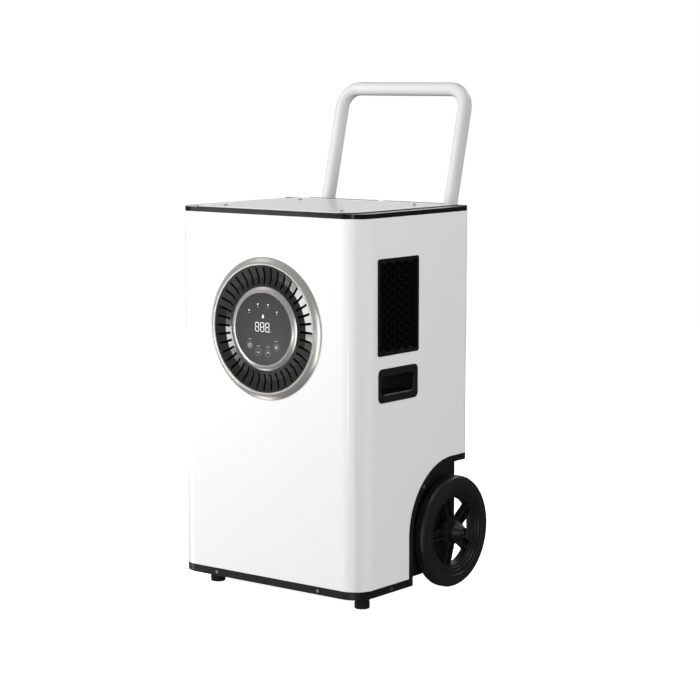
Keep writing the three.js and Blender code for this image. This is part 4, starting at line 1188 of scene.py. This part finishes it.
def filter_shape():
    low, high = FILTER_LOW, INTAKE_HIGH - 2
    outer = block(-FILTER_HALF, FILTER_HALF, FILTER_NEAR, FILTER_FAR, low, high)
    window = block(8 - FILTER_HALF, FILTER_HALF - 8, FILTER_NEAR - 5, FILTER_FAR + 5,
                   low + 8, high - 8)
    tab_top = FILTER_END.z
    tab = prism(rounded(70, 40, 5, 0, tab_top - 20), "Y", FILTER_NEAR, FILTER_FAR)
    tab = overlap(tab, block(-40, 40, FILTER_NEAR - 5, FILTER_FAR + 5, high - 1, tab_top + 5))
    ribs = [
        block(-0.9 + x, 0.9 + x, FILTER_NEAR + 0.3, FILTER_NEAR + 1.4, low + 4, high - 4)
        for x in (-68, 0, 68)
    ]
    return union(cut(outer, window), tab, *ribs)


piece("intake_grille_skin", intake_shape(), "black_plastic", ["intake_grille"], bevel=0.5)
piece("filter_frame_skin", filter_shape(), "black_plastic", ["filter_frame"], "filter", bevel=0.4)

# ------------ rear fittings

OUTLET = [
    (7, -14), (11, -14), (11, GAP), (19, GAP), (19, 3.4), (18.4, 4), (11, 4),
    (11, 9), (10, 10), (10, 12), (11, 14), (10, 14.5), (10, 17), (11, 19), (10, 19.5), (10, 22),
    (11, 24), (9.5, 28), (7, 28),
]
GLAND = [
    (0, -10), (8, -10), (8, GAP), (15, GAP), (15, 6), (11, 8), (9.6, 10), (9.6, 11.4),
    (9.2, 12), (9.2, 13.4), (9, 14), (9, 20), (5, 20), (5, 4), (0, 4),
]
for node, profile in (("drain_outlet", OUTLET), ("cord_gland", GLAND)):
    place = centre_of(node)
    piece(f"{node}_skin", turned(profile, "Y", 64), "black_plastic", [node],
          at=(place.x, REAR, place.z), bevel=0.25)

# ------------ coils

FIN_PITCH = 3.2
FIN = 0.5


def coil_shape(node):
    """Thin upright fins between two end plates."""
    low, high = measured(node)
    fins = []
    count = int((high.x - low.x) / FIN_PITCH)
    for i in range(1, count):
        x = low.x + i * FIN_PITCH
        fins.append(block(x - FIN / 2, x + FIN / 2, low.y, high.y, low.z, high.z))
    for x0 in (low.x, high.x - 1.5):
        fins.append(block(x0, x0 + 1.5, low.y, high.y, low.z, high.z))
    return joined(fins)


def coil_tubes(node):
    """Level tubes through the fins, standing a little out of their faces."""
    low, high = measured(node)
    tubes = []
    for i in range(8):
        z = low.z + (i + 0.5) * (high.z - low.z) / 8
        for y in (low.y + 9, high.y - 9):
            tubes.append(prism(circle(y, z, 4.5, 20), "X", low.x - 2, high.x + 2))
    return joined(tubes)


for node in ("evaporator_coil", "condenser_coil"):
    piece(f"{node}_fins", coil_shape(node), "aluminium", [node], bevel=0)
    piece(f"{node}_tubes", coil_tubes(node), "copper", bevel=0)

# ------------ CAD nodes that stay

KEPT = {
    "black_plastic": [
        "display_housing", "fan_shroud", "fan_impeller", "drain_pan", "condensate_pump"],
    "wheel_plastic": ["bush_left", "bush_right"],
    "rubber": ["drain_hose"],
    "steel": ["axle", "motor_shaft", "fan_motor"],
    "compressor_paint": ["compressor"],
    "copper": ["suction_pipe", "discharge_pipe"],
    "filter_cloth": ["filter_mesh"],
    "circuit_board": ["control_board"],
}
for slot, nodes in KEPT.items():
    for node in nodes:
        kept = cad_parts[node]
        kept.data.materials.clear()
        kept.data.materials.append(FINISHES[slot])
        weld = kept.modifiers.new("weld", "WELD")
        weld.merge_threshold = 0.00001
        soften(kept, 0.3)

# ------------ floor and backdrop


def floor_material():
    made = Shader("floor", (0.93, 0.93, 0.93), 0.6, Specular_IOR_Level=0.2,
                  Emission_Color=(1, 1, 1, 1), Emission_Strength=0.92)
    made.mottle(2, 0.004)
    made.uneven(3, 0.03)
    made.bump(made.noise(300, 2), 0.02)
    return made.material


def backdrop_material():
    made = bpy.data.materials.new("backdrop")
    made.use_nodes = True
    nodes = made.node_tree.nodes
    nodes.remove(nodes["Principled BSDF"])
    light = nodes.new("ShaderNodeEmission")
    light.inputs["Color"].default_value = (1, 1, 1, 1)
    made.node_tree.links.new(light.outputs[0], nodes["Material Output"].inputs["Surface"])
    return made


def stage_object(name, mesh, material, hidden_from):
    mesh.materials.append(material)
    obj = new_object(name, mesh)
    for rays in hidden_from:
        setattr(obj, f"visible_{rays}", False)


def add_stage():
    slab = prism(circle(0, 0, 5, 96), "Z", -0.02, -0.0005)
    stage_object("floor", slab, floor_material(), ("diffuse", "glossy", "shadow"))
    work = bmesh.new()
    bmesh.ops.create_uvsphere(work, u_segments=48, v_segments=24, radius=30)
    dome = bpy.data.meshes.new("backdrop")
    work.to_mesh(dome)
    work.free()
    stage_object("backdrop", dome, backdrop_material(),
                 ("diffuse", "glossy", "transmission", "shadow"))


add_stage()

# ------------ light


def add_area(name, azimuth, elevation, distance, width, height, power, glossy=True, diffuse=True):
    """A soft box that faces the middle of the object."""
    data = bpy.data.lights.new(name, "AREA")
    data.shape = "RECTANGLE"
    data.size = width
    data.size_y = height
    data.energy = power
    lamp = new_object(name, data)
    towards = direction(math.radians(azimuth), math.radians(elevation))
    lamp.location = CAMERA_TARGET + towards * distance
    lamp.rotation_euler = (-towards).to_track_quat("-Z", "Y").to_euler()
    lamp.visible_glossy = glossy
    lamp.visible_diffuse = diffuse
    lamp.visible_camera = False


# Broad soft boxes that light the object.
add_area("key", -46, 20, 3.6, 2.0, 2.4, 160, glossy=False)
add_area("fill", 56, 8, 5.0, 3.0, 3.0, 150, glossy=False)
add_area("top", 0, 88, 3.6, 3.0, 3.0, 31)
add_area("back", 132, 16, 4.0, 2.0, 2.0, 40, glossy=False)
add_area("rear_left", -165, 12, 4.0, 2.0, 2.0, 80, glossy=False)

# Panels seen only as reflections.
PANELS = (
    ("horizon", -43, -3, 1.0, 0.7, 4.5),
    ("front_low", -28, -22, 1.6, 1.2, 1.8),
    ("low_left", -63, -16, 0.5, 1.3, 12),
    ("right", 24, -12, 0.7, 2.6, 12),
    ("left", -98, -8, 0.6, 0.8, 2.5),
    ("below", -65, -48, 0.8, 0.7, 3.5),
    ("above", -50, 38, 0.8, 0.7, 1.6),
    ("over_right", 45, 62, 1.2, 0.8, 9),
    ("behind", -142, 14, 3.0, 1.6, 12),
    ("behind_right", 171, 37, 1.2, 0.6, 12),
    ("streak", 2, -9, 0.12, 0.45, 3.7),
)
for name, azimuth, elevation, width, height, power in PANELS:
    add_area(name, azimuth, elevation, 3.2, width, height, power, diffuse=False)

world = bpy.data.worlds.new("world")
bpy.context.scene.world = world
world.use_nodes = True
sky = world.node_tree.nodes["Background"]
sky.inputs["Color"].default_value = (1, 1, 1, 1)
sky.inputs["Strength"].default_value = 0.07
bpy.context.scene.view_settings.view_transform = "Standard"
